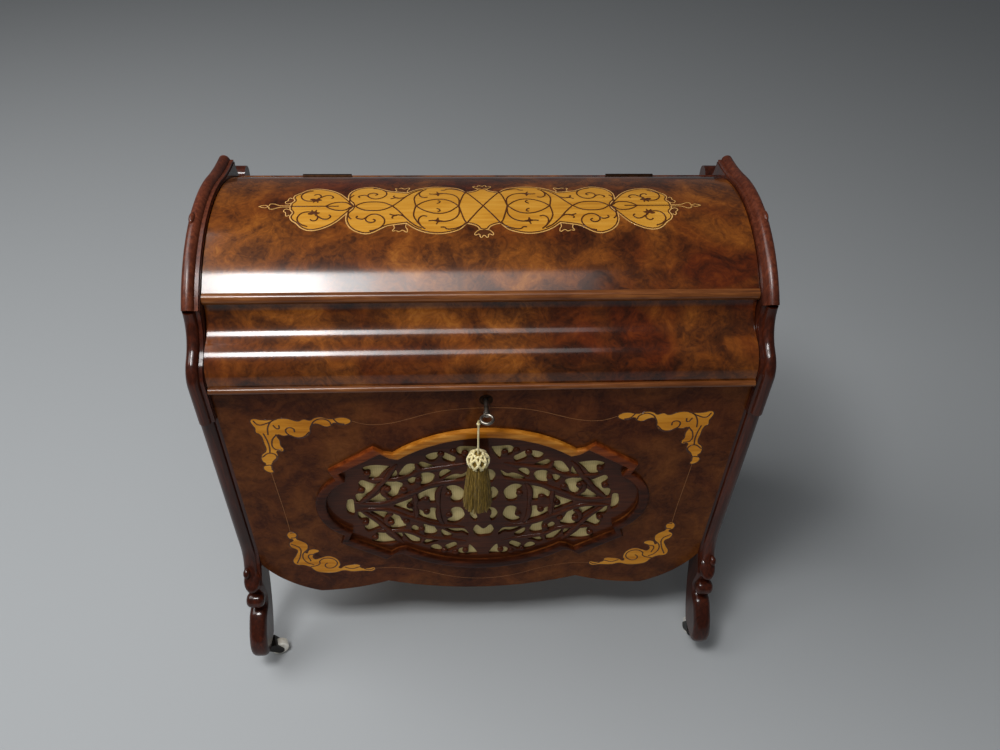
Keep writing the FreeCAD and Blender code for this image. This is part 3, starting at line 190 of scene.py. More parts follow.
def top_lit_moulding(name, below, above, arms, rise, spread):
    """A walnut moulding with light and shade painted on: golden along its top, redder at both arms and dark
    below.

    It turns from painted shade to painted light over rise, two heights, and from gold to red over spread,
    two distances from the middle.
    """
    material, tree, shader = blank(
        name, Roughness=0.4, Specular_IOR_Level=0.03, Coat_Weight=0.22, Coat_Roughness=0.08, Coat_IOR=1.5)
    place = add(tree, "ShaderNodeTexCoord").outputs["Object"]
    axes = add(tree, "ShaderNodeSeparateXYZ", {"Vector": place}).outputs
    # Painted light and shade: lighter above rise, darker below it
    light_and_tone = add(tree, "ShaderNodeMapRange", {"Value": axes["Z"], "From Min": rise[0], "From Max": rise[1]},
                interpolation_type="SMOOTHSTEP").outputs["Result"]
    sideways = add(tree, "ShaderNodeMath", {0: axes["X"]}, operation="ABSOLUTE").outputs["Value"]
    at_arms = add(tree, "ShaderNodeMapRange", {
        "Value": sideways, "From Min": spread[0], "From Max": spread[1]},
        interpolation_type="SMOOTHSTEP").outputs["Result"]
    stretched = add(tree, "ShaderNodeMapping", {
        "Vector": place, "Scale": (0.1, 1.0, 1.0)}).outputs["Vector"]
    grain = add(tree, "ShaderNodeTexNoise", {
        "Vector": stretched, "Scale": per_mm(5), "Detail": 5.0, "Roughness": 0.6}).outputs["Fac"]
    dark, gold, red = (add(tree, "ShaderNodeValToRGB", {"Fac": grain}, stops).outputs["Color"]
                       for stops in (below, above, arms))
    upper = add(tree, "ShaderNodeMix", {"Factor": at_arms, "A": gold, "B": red}, data_type="RGBA")
    colour = add(tree, "ShaderNodeMix", {"Factor": light_and_tone, "A": dark, "B": upper.outputs["Result"]},
                 data_type="RGBA")
    tree.links.new(colour.outputs["Result"], shader.inputs["Base Color"])
    return material


def worn_metal(name, clean, dull, roughness, spot_mm):
    """Old metal: a base colour that darkens in soft spots, where it is rougher too."""
    material, tree, shader = blank(name, Metallic=1.0)
    place = add(tree, "ShaderNodeTexCoord").outputs["Object"]
    spots = add(tree, "ShaderNodeTexNoise", {
        "Vector": place, "Scale": per_mm(spot_mm), "Detail": 5.0, "Roughness": 0.65}).outputs["Fac"]
    colours = add(tree, "ShaderNodeValToRGB", {"Fac": spots}, [(0.35, dull), (0.65, clean)])
    tree.links.new(colours.outputs["Color"], shader.inputs["Base Color"])
    rough = add(tree, "ShaderNodeMapRange", {
        "Value": spots, "From Min": 0.3, "From Max": 0.7, "To Min": roughness + 0.2, "To Max": roughness})
    tree.links.new(rough.outputs["Result"], shader.inputs["Roughness"])
    return material


def silk_cloth():
    """Plain-woven silk with a soft sheen, its threads crossing and its colour uneven with age.

    Real threads are about 0.3 mm apart. Here they are 2.8 mm apart, so that they show in the picture.
    """
    material, tree, shader = blank("woven_silk", Roughness=0.62, Sheen_Weight=0.3, Sheen_Roughness=0.4)
    place = add(tree, "ShaderNodeTexCoord").outputs["Object"]
    thread_scale = per_mm(2.7635) * math.tau / 20  # the wave node makes 20 / tau bands at a scale of 1
    weft, warp = (add(tree, "ShaderNodeTexWave", {
        "Vector": place, "Scale": thread_scale, "Distortion": 0.6, "Detail": 1.0},
        bands_direction=axis).outputs["Fac"] for axis in ("Z", "X"))
    woven = add(tree, "ShaderNodeMath", {0: weft, 1: warp}, operation="MULTIPLY").outputs["Value"]
    age = add(tree, "ShaderNodeTexNoise", {"Vector": place, "Scale": per_mm(60), "Detail": 3.0})
    tint = add(tree, "ShaderNodeMix", {"Factor": 0.3, "A": age.outputs["Fac"], "B": woven})
    colours = add(tree, "ShaderNodeValToRGB", {"Fac": tint.outputs["Result"]},
                  [(0.15, "#b49f63"), (0.5, "#ccb87c"), (0.8, "#decd99")])
    tree.links.new(colours.outputs["Color"], shader.inputs["Base Color"])
    relief = add(tree, "ShaderNodeBump", {"Strength": 0.2, "Distance": 0.3 * MM, "Height": woven})
    tree.links.new(relief.outputs["Normal"], shader.inputs["Normal"])
    return material


def twisted_thread(name, stops, streak_mm, sheen):
    """Lustrous floss: fine streaks down the threads, with a soft sheen."""
    material, tree, shader = blank(
        name, Roughness=0.55, Specular_IOR_Level=0.2, Sheen_Weight=sheen, Sheen_Roughness=0.35)
    place = add(tree, "ShaderNodeTexCoord").outputs["Object"]
    stretched = add(tree, "ShaderNodeMapping", {
        "Vector": place, "Scale": (1.0, 1.0, 0.08)}).outputs["Vector"]
    streak = add(tree, "ShaderNodeTexNoise", {
        "Vector": stretched, "Scale": per_mm(streak_mm), "Detail": 3.0, "Roughness": 0.6}).outputs["Fac"]
    colours = add(tree, "ShaderNodeValToRGB", {"Fac": streak}, stops).outputs["Color"]
    tree.links.new(colours, shader.inputs["Base Color"])
    relief = add(tree, "ShaderNodeBump", {"Strength": 0.3, "Distance": 0.3 * MM, "Height": streak})
    tree.links.new(relief.outputs["Normal"], shader.inputs["Normal"])
    return material


def glazed_ceramic():
    """White glazed pottery: glossy, and stained a little by age."""
    material, tree, shader = blank("glazed_ceramic", Roughness=0.16, IOR=1.52, Coat_Weight=0.5)
    place = add(tree, "ShaderNodeTexCoord").outputs["Object"]
    stain = add(tree, "ShaderNodeTexNoise", {
        "Vector": place, "Scale": per_mm(9), "Detail": 4.0, "Roughness": 0.6}).outputs["Fac"]
    colours = add(tree, "ShaderNodeValToRGB", {"Fac": stain},
                  [(0.3, "#c9c1ac"), (0.5, "#e6e1d4"), (0.7, "#efece4")])
    tree.links.new(colours.outputs["Color"], shader.inputs["Base Color"])
    return material


def cast_iron():
    """Blackened cast iron: a faint sandy skin, with brown where it has rusted."""
    material, tree, shader = blank("blackened_iron", Roughness=0.48, Metallic=0.6)
    place = add(tree, "ShaderNodeTexCoord").outputs["Object"]
    grit = add(tree, "ShaderNodeTexNoise", {
        "Vector": place, "Scale": per_mm(3), "Detail": 6.0, "Roughness": 0.7}).outputs["Fac"]
    colours = add(tree, "ShaderNodeValToRGB", {"Fac": grit},
                  [(0.35, "#15120f"), (0.6, "#26211d"), (0.8, "#3a2a1f")])
    tree.links.new(colours.outputs["Color"], shader.inputs["Base Color"])
    relief = add(tree, "ShaderNodeBump", {"Strength": 0.25, "Distance": 0.4 * MM, "Height": grit})
    tree.links.new(relief.outputs["Normal"], shader.inputs["Normal"])
    return material


ALONG_X = (0.06, 1.0, 1.0)
ALONG_Z = (1.0, 1.0, 0.06)
slot_material = {
    # Lid and rear rail: lively burr under a deep polish that mirrors the lamps, with painted light turning
    # it gold towards the left
    "burr_walnut": burr_veneer(
        "burr_walnut",
        red_stops=[(0.32, "#130501"), (0.45, "#321103"), (0.56, "#4d1d05"), (0.72, "#6b3009")],
        gold_stops=[(0.30, "#241006"), (0.44, "#50290c"), (0.56, "#764112"), (0.72, "#9a5f20")],
        offset=(0.0, 0.0, 0.0), left_light=0.32, polish=0.9, sheen=0.04),
    # Lip and bead: a lighter walnut, with a soft bright line along each
    "walnut_beading": straight_wood(
        "polished_walnut_beading", [(0.3, "#3a1c0d"), (0.5, "#613618"), (0.7, "#875329")],
        grain_mm=3.0, squeeze=ALONG_X, polish=0.7, haze=0.16),
    # Ends, feet and mouldings: a walnut stained nearly black, red where light falls on it
    "dark_walnut": straight_wood(
        "polished_dark_walnut", [(0.3, "#1b0904"), (0.5, "#341308"), (0.7, "#52210d")],
        grain_mm=4.0, squeeze=ALONG_Z, polish=0.6, haze=0.12),
    # Front panel: a darker, quieter burr that hardly shines, with painted light turning it a little gold
    # towards the left
    "front_veneer": burr_veneer(
        "dark_burr_walnut",
        red_stops=[(0.32, "#220d05"), (0.45, "#3c1a0a"), (0.56, "#522810"), (0.72, "#693818")],
        gold_stops=[(0.30, "#291207"), (0.44, "#4a250e"), (0.56, "#603414"), (0.72, "#76451e")],
        offset=(0.31, 0.17, 0.05), left_light=0.08, polish=0.14, sheen=0.03),
    # Fret: dark streaks with small glints
    "fret_walnut": straight_wood(
        "fretted_walnut", [(0.3, "#220e06"), (0.5, "#3f1c0c"), (0.7, "#5a2c14")],
        grain_mm=3.0, squeeze=ALONG_X, polish=0.25),
    # Silk behind the fret: pale gold, with a weave that shows
    "silk": silk_cloth(),
    # Back, bottom, partitions and lid cheeks: pale bare wood, matt
    "softwood": straight_wood(
        "plain_softwood", [(0.3, "#8a6238"), (0.5, "#ab8250"), (0.7, "#c49c68")],
        grain_mm=5.0, squeeze=ALONG_X, polish=0.0),
    # Lock: yellow metal that has browned in spots
    "brass": worn_metal("aged_brass", clean="#b08c45", dull="#5f4822", roughness=0.3, spot_mm=5),
    # Key: grey metal, brighter where it is clean
    "key_steel": worn_metal("worn_steel", clean="#b9b2a6", dull="#5d564d", roughness=0.26, spot_mm=4),
    # Skirt of the tassel: olive threads with dark gaps between them
    "tassel_thread": twisted_thread(
        "olive_gold_floss", [(0.25, "#33260a"), (0.5, "#6e561c"), (0.75, "#a98c3f")],
        streak_mm=0.9, sheen=0.08),
    # Castor horns, axles and plates: dull black with a grainy skin
    "castor_iron": cast_iron(),
    # Castor rollers: white and glossy, with faint stains
    "castor_ceramic": glazed_ceramic(),
}

# Inlay: a yellow wood with fine streaks, polished with the lid, deeper in tone and duller on the front
satinwood = straight_wood(
    "satinwood_inlay", [(0.3, "#9c6518"), (0.5, "#b07b26"), (0.7, "#c08e3a")],
    grain_mm=5.0, squeeze=ALONG_X, polish=0.7, pores=0.02)
toned_satinwood = straight_wood(
    "toned_satinwood_inlay", [(0.3, "#a8640f"), (0.5, "#c98422"), (0.7, "#dc9c3a")],
    grain_mm=5.0, squeeze=ALONG_X, polish=0.15, pores=0.02)
# Lines in and round the inlay: dark brown where they are scorched, straw-coloured where they are boxwood
scorched_line = straight_wood(
    "scorched_line", [(0.3, "#33180a"), (0.5, "#4a2710"), (0.7, "#5e3415")],
    grain_mm=4.0, squeeze=ALONG_X, polish=0.6, pores=0.02)
boxwood_line = straight_wood(
    "boxwood_line", [(0.3, "#a87a3c"), (0.5, "#c29455"), (0.7, "#d2a869")],
    grain_mm=4.0, squeeze=ALONG_X, polish=0.5, pores=0.02)
dull_string = straight_wood(
    "dulled_boxwood_string", [(0.3, "#6f4725"), (0.5, "#885a34"), (0.7, "#9c6d46")],
    grain_mm=4.0, squeeze=ALONG_X, polish=0.1, pores=0.02)
# Crest mouldings: the dark walnut painted lighter, as painted light and sheen on the upturned crest, with a
# broad hazy highlight
top_lit_walnut = straight_wood(
    "top_lit_walnut_moulding", [(0.3, "#2a110a"), (0.5, "#4b2214"), (0.7, "#6c3722")],
    grain_mm=4.0, squeeze=ALONG_Z, polish=0.5, haze=0.24)
# Cartouche moulding: golden along its top as painted light, dark elsewhere as painted shade
top_lit_cartouche = top_lit_moulding(
    "top_lit_cartouche_moulding",
    below=[(0.3, "#1c0a04"), (0.5, "#311408"), (0.7, "#48200e")],
    above=[(0.3, "#80460f"), (0.5, "#a2631b"), (0.7, "#bd8034")],
    arms=[(0.3, "#4a1d09"), (0.5, "#6b2f10"), (0.7, "#8a4419")],
    rise=(0.30, 0.40), spread=(0.095, 0.135))
# Cord, knot and head of the tassel: cream floss with a silky sheen
pale_floss = twisted_thread(
    "cream_gold_floss", [(0.25, "#9a8852"), (0.5, "#d6c791"), (0.75, "#f4eed2")],
    streak_mm=1.2, sheen=0.3)
# Hinges and keyhole plate: brass gone brown-black
aged_plate = worn_metal("blackened_brass", clean="#3a2416", dull="#1e130c", roughness=0.45, spot_mm=4)

for row in frame["record"]["subparts"]:
    solid = nodes[row["node"]]
    solid.data.materials.clear()
    solid.data.materials.append(slot_material[row["material_slot"]])
nodes["cartouche_moulding"].data.materials[0] = top_lit_cartouche
for crest in ("left_crest_moulding", "right_crest_moulding"):
    nodes[crest].data.materials[0] = top_lit_walnut
for plate in ("keyhole_plate", "lid_hinge_leaves", "case_hinge_leaves", "hinge_pins"):
    nodes[plate].data.materials[0] = aged_plate


# Making pieces


def finished(name, mesh, material, body, slot):
    """A piece that rides on a body, with smooth shading and the given finish. Its slot argument is not
    used.
    """
    piece = bpy.data.objects.new(name, mesh)
    mesh.name = name
    mesh.materials.clear()
    mesh.materials.append(material)
    for face in mesh.polygons:
        face.use_smooth = True
        face.material_index = 0
    collection.objects.link(piece)
    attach(piece, body)
    return piece


def mesh_of(curve):
    """The mesh that a curve makes; the curve itself is dropped."""
    holder = bpy.data.objects.new("drawing", curve)
    mesh = bpy.data.meshes.new_from_object(holder)
    bpy.data.objects.remove(holder)
    bpy.data.curves.remove(curve)
    return mesh


def flat_line(points, closed, end_radius, settings):
    """The mesh of one smooth flat line through points in millimetres.

    A third value marks a sharp corner, and end_radius is how thick an open line is at its ends.
    """
    curve = bpy.data.curves.new("drawing", "CURVE")
    curve.dimensions = "2D"
    curve.resolution_u = 6
    for name, value in settings.items():
        setattr(curve, name, value)
    spline = curve.splines.new("BEZIER")
    spline.bezier_points.add(len(points) - 1)
    spline.use_cyclic_u = closed
    for knot, point in zip(spline.bezier_points, points):
        knot.co = (point[0] * MM, point[1] * MM, 0.0)
    for knot, point in zip(spline.bezier_points, points):
        kind = "VECTOR" if len(point) > 2 else "AUTO"
        knot.handle_left_type = kind
        knot.handle_right_type = kind
    if not closed:
        spline.bezier_points[0].radius = end_radius
        spline.bezier_points[-1].radius = end_radius
    return mesh_of(curve)


def drawing(lines, closed, end_radius=1.0, **settings):
    """Several flat lines in one mesh; open ones may thin towards their ends."""
    shape = bmesh.new()
    for points in lines:
        shape.from_mesh(flat_line(points, closed, end_radius, settings))
    mesh = bpy.data.meshes.new("drawing")
    shape.to_mesh(mesh)
    return mesh


def tubes(paths, radius, closed=False, sides=1):
    """Round threads along smooth lines through space, given in metres."""
    curve = bpy.data.curves.new("threads", "CURVE")
    curve.dimensions = "3D"
    curve.bevel_depth = radius
    curve.bevel_resolution = sides
    curve.resolution_u = 3
    curve.use_fill_caps = not closed
    for path in paths:
        spline = curve.splines.new("NURBS")
        spline.points.add(len(path) - 1)
        for knot, point in zip(spline.points, path):
            knot.co = (*point, 1.0)
        spline.order_u = 3
        spline.use_cyclic_u = closed
        spline.use_endpoint_u = not closed
    return mesh_of(curve)


def mirrored(lines):
    """The lines and their mirror images, left and right."""
    return lines + [[(-p[0], *p[1:]) for p in line] for line in lines]


def doubled(lines):
    """The lines and their mirror images, above and below."""
    return lines + [[(p[0], -p[1], *p[2:]) for p in line] for line in lines]


# Tassel: its cord first, then the knotted head and the threads

CORD_X, CORD_Y = -9.5, -170.79
CORD_TOP, HEAD_TOP = 477.1, 426.1
CORD_RADIUS = 1.1
CORD_END = 380.0  # it runs on through the head and is tied in among the threads
cord_curve = bpy.data.curves.new("tassel_silk_cord", "CURVE")
cord_curve.dimensions = "3D"
cord_curve.bevel_depth = CORD_RADIUS * MM
cord_curve.bevel_resolution = 4
cord_line = cord_curve.splines.new("NURBS")
cord_line.points.add(2)
for knot, height in zip(cord_line.points, (CORD_TOP, HEAD_TOP, CORD_END)):
    knot.co = (CORD_X * MM, CORD_Y * MM, height * MM, 1.0)
cord_line.order_u = 3
cord_line.use_endpoint_u = True
cord_curve.materials.append(pale_floss)
tassel_cord = bpy.data.objects.new("tassel_silk_cord", cord_curve)
collection.objects.link(tassel_cord)
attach(tassel_cord, "tassel")
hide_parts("tassel_cord")

HEAD_RADIUS, CORE_RADIUS = 14.0, 10.8
head_centre = Vector((CORD_X, CORD_Y, HEAD_TOP - HEAD_RADIUS)) * MM
WEAVE_LEADS, WEAVE_BIGHTS = 5, 8
WEAVE_REACH = math.radians(66)
WEAVE_THREAD, WEAVE_LIFT = 1.5, 0.8
STEPS_PER_BIGHT = 16


def weave_path():
    """One endless strand that weaves over and under itself round a ball."""
    path = []
    steps = WEAVE_BIGHTS * STEPS_PER_BIGHT
    for step in range(steps):
        share = step / steps
        around = math.tau * WEAVE_LEADS * share
        lift = WEAVE_REACH * math.cos(math.tau * WEAVE_BIGHTS * share)
        weave = WEAVE_LIFT * math.cos(math.tau * WEAVE_BIGHTS * WEAVE_LEADS * share)
        out = (HEAD_RADIUS - WEAVE_THREAD + weave) * MM
        flat = out * math.cos(lift)
        bend = Vector((flat * math.cos(around), flat * math.sin(around), out * math.sin(lift)))
        path.append(head_centre + bend)
    return path


def thread_ball(name, centre, radius, material):
    """A round ball of thread that hangs with the tassel."""
    shape = bmesh.new()
    bmesh.ops.create_uvsphere(shape, u_segments=32, v_segments=20, radius=radius * MM)
    bmesh.ops.translate(shape, verts=shape.verts, vec=centre)
    mesh = bpy.data.meshes.new(name)
    shape.to_mesh(mesh)
    return finished(name, mesh, material, "tassel", "tassel_thread")


RING_KNOT_DROP, RING_KNOT_RADIUS = 5.2, 2.1
core = thread_ball("tassel_head_core", head_centre, CORE_RADIUS, slot_material["tassel_thread"])
knot_centre = Vector((CORD_X, CORD_Y, CORD_TOP - RING_KNOT_DROP)) * MM
ring_knot = thread_ball("tassel_ring_knot", knot_centre, RING_KNOT_RADIUS, pale_floss)
head_mesh = tubes([weave_path()], WEAVE_THREAD * MM, closed=True, sides=2)
head = finished("tassel_knotted_head", head_mesh, pale_floss, "tassel", "tassel_thread")
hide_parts("tassel_head")

SKIRT_TOP, SKIRT_LOW = 406.0, 333.2
SKIRT_NECK, SKIRT_HEM = 11.0, 18.0
FILLING_LOW, FILLING_NECK, FILLING_HEM = 339.2, 10.0, 14.0
THREADS, THREAD_RADIUS, THREAD_STEPS = 260, 0.6, 3
THREAD_INNERMOST, THREAD_FLARE, THREAD_WANDER = 0.35, 0.8, 0.07
THREAD_SHORTFALL = (0.6, 4.5)
thread_dice = random.Random(7)


def skirt_thread():
    """One thread of the skirt: it leaves the neck, flares, wanders and ends a little above the hem."""
    around = thread_dice.uniform(0.0, math.tau)
    share = math.sqrt(thread_dice.uniform(THREAD_INNERMOST, 1.0))
    end = SKIRT_LOW + thread_dice.uniform(*THREAD_SHORTFALL)
    path = []
    for step in range(THREAD_STEPS + 1):
        along = step / THREAD_STEPS
        out = share * (SKIRT_NECK + (SKIRT_HEM - SKIRT_NECK) * along ** THREAD_FLARE)
        turned = around + thread_dice.uniform(-THREAD_WANDER, THREAD_WANDER) * along
        height = SKIRT_TOP + (end - SKIRT_TOP) * along
        point = Vector((CORD_X + out * math.cos(turned), CORD_Y + out * math.sin(turned), height))
        path.append(point * MM)
    return path


skirt_shape = bmesh.new()
bmesh.ops.create_cone(skirt_shape, cap_ends=True, segments=24, radius1=FILLING_HEM * MM,
                      radius2=FILLING_NECK * MM, depth=(SKIRT_TOP - FILLING_LOW) * MM)
filling_centre = Vector((CORD_X, CORD_Y, (SKIRT_TOP + FILLING_LOW) / 2)) * MM
bmesh.ops.translate(skirt_shape, verts=skirt_shape.verts, vec=filling_centre)
skirt_shape.from_mesh(tubes([skirt_thread() for _ in range(THREADS)], THREAD_RADIUS * MM))
skirt_mesh = bpy.data.meshes.new("thread_skirt")
skirt_shape.to_mesh(skirt_mesh)
skirt = finished(
    "tassel_thread_skirt", skirt_mesh, slot_material["tassel_thread"], "tassel", "tassel_thread")
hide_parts("tassel_skirt")


# Silk behind the fret

silk_low, silk_high = (Vector(corner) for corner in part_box("silk_backing"))
silk_shape = bmesh.new()
bmesh.ops.create_grid(silk_shape, x_segments=36, y_segments=24, size=0.5)
silk_size = silk_high - silk_low
bmesh.ops.scale(silk_shape, verts=silk_shape.verts, vec=(silk_size.x, silk_size.z, 1.0))
bmesh.ops.rotate(silk_shape, verts=silk_shape.verts, matrix=Matrix.Rotation(math.radians(90), 3, "X"))
bmesh.ops.translate(silk_shape, verts=silk_shape.verts, vec=(silk_low + silk_high) / 2)
silk_mesh = bpy.data.meshes.new("stretched_silk")
silk_shape.to_mesh(silk_mesh)
silk = finished("stretched_silk", silk_mesh, slot_material["silk"], "case", "silk")
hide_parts("silk_backing")


# Laying flat drawings on the lid, the front and the fret

BARREL_RADIUS = 184.0
BARREL_DEPTH, BARREL_HEIGHT = 35.0, 451.0
BAND_AXIS = -19.0
PANEL_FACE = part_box("front_panel")[0][1]
FRET_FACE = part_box("fret_panel")[0][1]
FRET_CENTRE = 286.0
STRIP = 4 * MM
FILL = {"fill_mode": "BOTH", "extrude": 0.04 * MM}


def stroke(width):
    """Settings of a line of this width in millimetres, with rounded sides."""
    return {"fill_mode": "NONE", "bevel_depth": width / 2 * MM, "bevel_resolution": 1,
            "use_fill_caps": True}


def on_lid(across, along, out):
    """A point of the barrel's skin: along runs on it from the band's axis, and out is the height above."""
    angle = (along + BAND_AXIS * MM) / (BARREL_RADIUS * MM)
    reach = BARREL_RADIUS * MM + out
    depth = BARREL_DEPTH * MM + reach * math.sin(angle)
    height = BARREL_HEIGHT * MM + reach * math.cos(angle)
    return Vector((across, depth, height))


def on_panel(across, up, out):
    """A point of the front panel's face, raised by out."""
    return Vector((across, PANEL_FACE - out, up))


def on_fret(across, up, out):
    """A point of the fret's face, up from its middle and raised by out."""
    return Vector((across, FRET_FACE - out, FRET_CENTRE * MM + up))


BODY_AND_SLOT = {
    on_lid: ("lid", "burr_walnut"),
    on_panel: ("case", "front_veneer"),
    on_fret: ("case", "fret_walnut"),
}


def inlay(name, mesh, place, material, lift, press=1.0):
    """Lay a drawing on its place, lifted by millimetres and pressed flatter, in strips where it bends."""
    shape = bmesh.new()
    shape.from_mesh(mesh)
    if place is on_lid:
        heights = [v.co.y for v in shape.verts]
        cut = math.floor(min(heights) / STRIP) * STRIP
        while cut < max(heights):
            geometry = shape.verts[:] + shape.edges[:] + shape.faces[:]
            bmesh.ops.bisect_plane(shape, geom=geometry, plane_co=(0, cut, 0), plane_no=(0, 1, 0))
            cut += STRIP
    for vertex in shape.verts:
        vertex.co = place(vertex.co.x, vertex.co.y, lift * MM + vertex.co.z * press)
    bmesh.ops.recalc_face_normals(shape, faces=shape.faces)
    laid = bpy.data.meshes.new(name)
    shape.to_mesh(laid)
    return finished(name, laid, material, *BODY_AND_SLOT[place])


# Marquetry of the lid, one quarter of it: left of the middle, and along the skin from the band's axis

LOBE_END = [
    (-216, 0), (-215.5, 6), (-212.5, 11), (-214.5, 17), (-213, 22.5), (-207, 28), (-200.5, 35),
    (-192.5, 38.5), (-184.5, 38), (-174, 34), (-163.5, 26.5), (-155, 16), (-149.5, 8),
]
LOBE_MIDDLE = [
    (-147, 4), (-151.5, 11), (-153, 19), (-151.5, 28), (-146, 36.5), (-138, 41.5), (-130, 43.5),
    (-122, 41.5), (-114, 36.5), (-107, 32.5), (-98, 30.5), (-86, 28.5, 1), (-77, 36), (-67, 41),
    (-56, 43.5), (-45.5, 43.5), (-34.5, 41), (-26, 37), (-19, 29, 1), (-12, 31), (-7, 34), (-4, 38),
]
END_SCROLLS = [
    [(-194, 33), (-202, 29), (-206, 23), (-205.5, 17), (-202, 12), (-196.5, 10), (-190, 11), (-185, 16),
     (-184, 20.5), (-186.5, 24), (-190, 24), (-192, 22)],
    [(-184, 17), (-180, 20.5), (-175.5, 22), (-171.5, 20.5), (-170, 17), (-172, 15)],
    [(-177, 0), (-169.5, 5.5), (-161, 7.5), (-154, 6.5), (-148.5, 1.5), (-144, 0)],
]
SECOND_SCROLLS = [
    [(-144, 0), (-136, 6), (-123.5, 8), (-112.5, 6.5), (-102, 0)],
    [(-126, 39.5), (-119, 37.5), (-113, 33), (-110, 26), (-112, 19.5), (-117.5, 15), (-124.5, 14.5),
     (-130, 18.5), (-131, 23), (-128, 26.5), (-123.5, 27), (-120.5, 24), (-123, 22)],
    [(-130.5, 19.5), (-134.5, 22), (-138.5, 21.5), (-141.5, 19), (-140, 17)],
    [(-147, 1), (-150, 5), (-151, 11.5), (-150, 18), (-147, 22)],
    [(-105, 14), (-100, 16), (-96, 15.5), (-91, 16.5), (-87, 20)],
    [(-96.5, 16), (-100.5, 17.5), (-102, 20), (-100.5, 21)],
    [(-102, 0), (-94, 10), (-85.5, 22), (-77, 31), (-69, 36)],
]
ROUND_SCROLLS = [
    [(-76, 0), (-77.5, 8), (-78, 16.5), (-75, 24.5), (-70, 32), (-65, 37)],
    [(-76, 0), (-66.5, 8), (-52.5, 13), (-40, 11), (-27.5, 0)],
    [(-27.5, 0), (-27, 9), (-28, 15), (-32.5, 21.5), (-39, 25), (-49.5, 26), (-56.5, 24.5),
     (-61.5, 25)],
    [(-63, 18), (-67.5, 17), (-71.5, 20), (-72.5, 26), (-70, 32)],
    [(-48, 34.5), (-44, 34.5), (-41, 37), (-33, 36.5), (-25, 33), (-19, 28.5)],
    [(-52.5, 4.5), (-49.5, 6.5), (-49, 9), (-51.5, 10)],
    [(-27.5, 0), (-24.5, 13.5), (-21.5, 24), (-19, 29)],
]
BAND_SPINE = [[(-216, 0), (-197, 0), (-162, 0)]]
BAND_CROSS = [[(-19, 29), (-9.5, 14.5), (0, 0), (9.5, -14.5), (19, -29)]]
BAND_BUDS = [
    [(-195.5, 13), (-192, 10.5), (-191.5, 7), (-188.5, 9), (-186, 6.5), (-185.5, 10), (-182, 11.5),
     (-184.5, 14), (-186, 17), (-188.5, 14), (-191.5, 15)],
    [(-57, 24.5), (-53, 23), (-51, 20), (-49.5, 23.5), (-45, 26), (-50, 27), (-53, 30.5),
     (-52.5, 26.5)],
    [(-99, 38), (-97.5, 35), (-98.5, 32.5), (-94.5, 30.5), (-91, 31.5), (-87, 30), (-88, 34),
     (-86.5, 38.5), (-90, 37), (-93.5, 38.5)],
    [(-216.5, 7.5), (-219.5, 7), (-221, 9), (-219, 11), (-217.5, 15), (-216, 14), (-215.5, 11)],
]
BAND_SPRIGS = [
    [(-100, 31), (-99, 35.5), (-100.5, 39.5), (-97.5, 39), (-93.5, 40.5), (-90, 38.5), (-85, 41),
     (-84.5, 38), (-86.5, 33.5), (-85.5, 28)],
    [(-216, 6), (-220.5, 5), (-222.5, 8.5), (-220, 11), (-218.5, 16.5), (-215.5, 15)],
    [(-216, 1.2), (-227, 1.5), (-238.5, 4.5), (-240, 1), (-244, 2.3), (-251, 0)],
]
CENTRE_SPRIG = [
    [(-4, 38), (-7.5, 40), (-10, 45.5), (-5.5, 44.5), (-3.5, 49), (0, 46), (3.5, 49), (5.5, 44.5),
     (10, 45.5), (7.5, 40), (4, 38)],
]
CENTRE_BUD = [
    [(-3.5, 39), (-6.5, 41), (-8, 44.5), (-5, 43), (-3, 46.5), (0, 44.5), (3, 46.5), (5, 43), (8, 44.5),
     (6.5, 41), (3.5, 39)],
]
LOBE_JOIN = (-145, 0)
LID_PRESS = 0.10
SHADING_INSET = 1.6


def closed_band(quarter):
    """A quarter's outline carried round above and below the axis, and round both ends."""
    above = quarter + [(-p[0], *p[1:]) for p in reversed(quarter)]
    right_below = [(-p[0], -p[1], *p[2:]) for p in quarter]
    left_below = [(p[0], -p[1], *p[2:]) for p in reversed(quarter)]
    return above + right_below + left_below


def closed_lobe(half):
    """The outline of an end lobe, carried round below the axis from where it meets the band."""
    below = [(p[0], -p[1]) for p in reversed(half[1:])]
    return half + [LOBE_JOIN] + below


band_outlines = mirrored([closed_lobe(LOBE_END)]) + [closed_band(LOBE_MIDDLE)]
band_scrolls = END_SCROLLS + SECOND_SCROLLS + ROUND_SCROLLS
band_lines = mirrored(doubled(band_scrolls)) + mirrored(BAND_SPINE) + mirrored(BAND_CROSS)
band_buds = mirrored(doubled(BAND_BUDS)) + doubled(CENTRE_BUD)
band_sprigs = mirrored(doubled(BAND_SPRIGS)) + doubled(CENTRE_SPRIG)
band_inlay = drawing(band_outlines, closed=True, **FILL)
band_engraving = drawing(band_lines, closed=False, **stroke(width=1.8))
bud_inlay = drawing(band_buds, closed=True, **FILL)
band_shading = drawing(band_outlines, closed=True, offset=-SHADING_INSET * MM, **stroke(width=1.5))
band_edging = drawing(band_outlines, closed=True, **stroke(width=1.2))
sprig_lines = drawing(band_sprigs, closed=False, **stroke(width=1.1))
inlay("lid_marquetry", band_inlay, on_lid, satinwood, lift=0.12)
inlay("lid_marquetry_lines", band_engraving, on_lid, scorched_line, lift=0.30, press=LID_PRESS)
inlay("lid_marquetry_buds", bud_inlay, on_lid, scorched_line, lift=0.26)
inlay("lid_marquetry_shading", band_shading, on_lid, scorched_line, lift=0.22, press=LID_PRESS)
inlay("lid_marquetry_edging", band_edging, on_lid, boxwood_line, lift=0.17, press=LID_PRESS)
inlay("lid_marquetry_sprigs", sprig_lines, on_lid, boxwood_line, lift=0.13, press=LID_PRESS)


# Marquetry and stringing of the front: across in X and up in Z

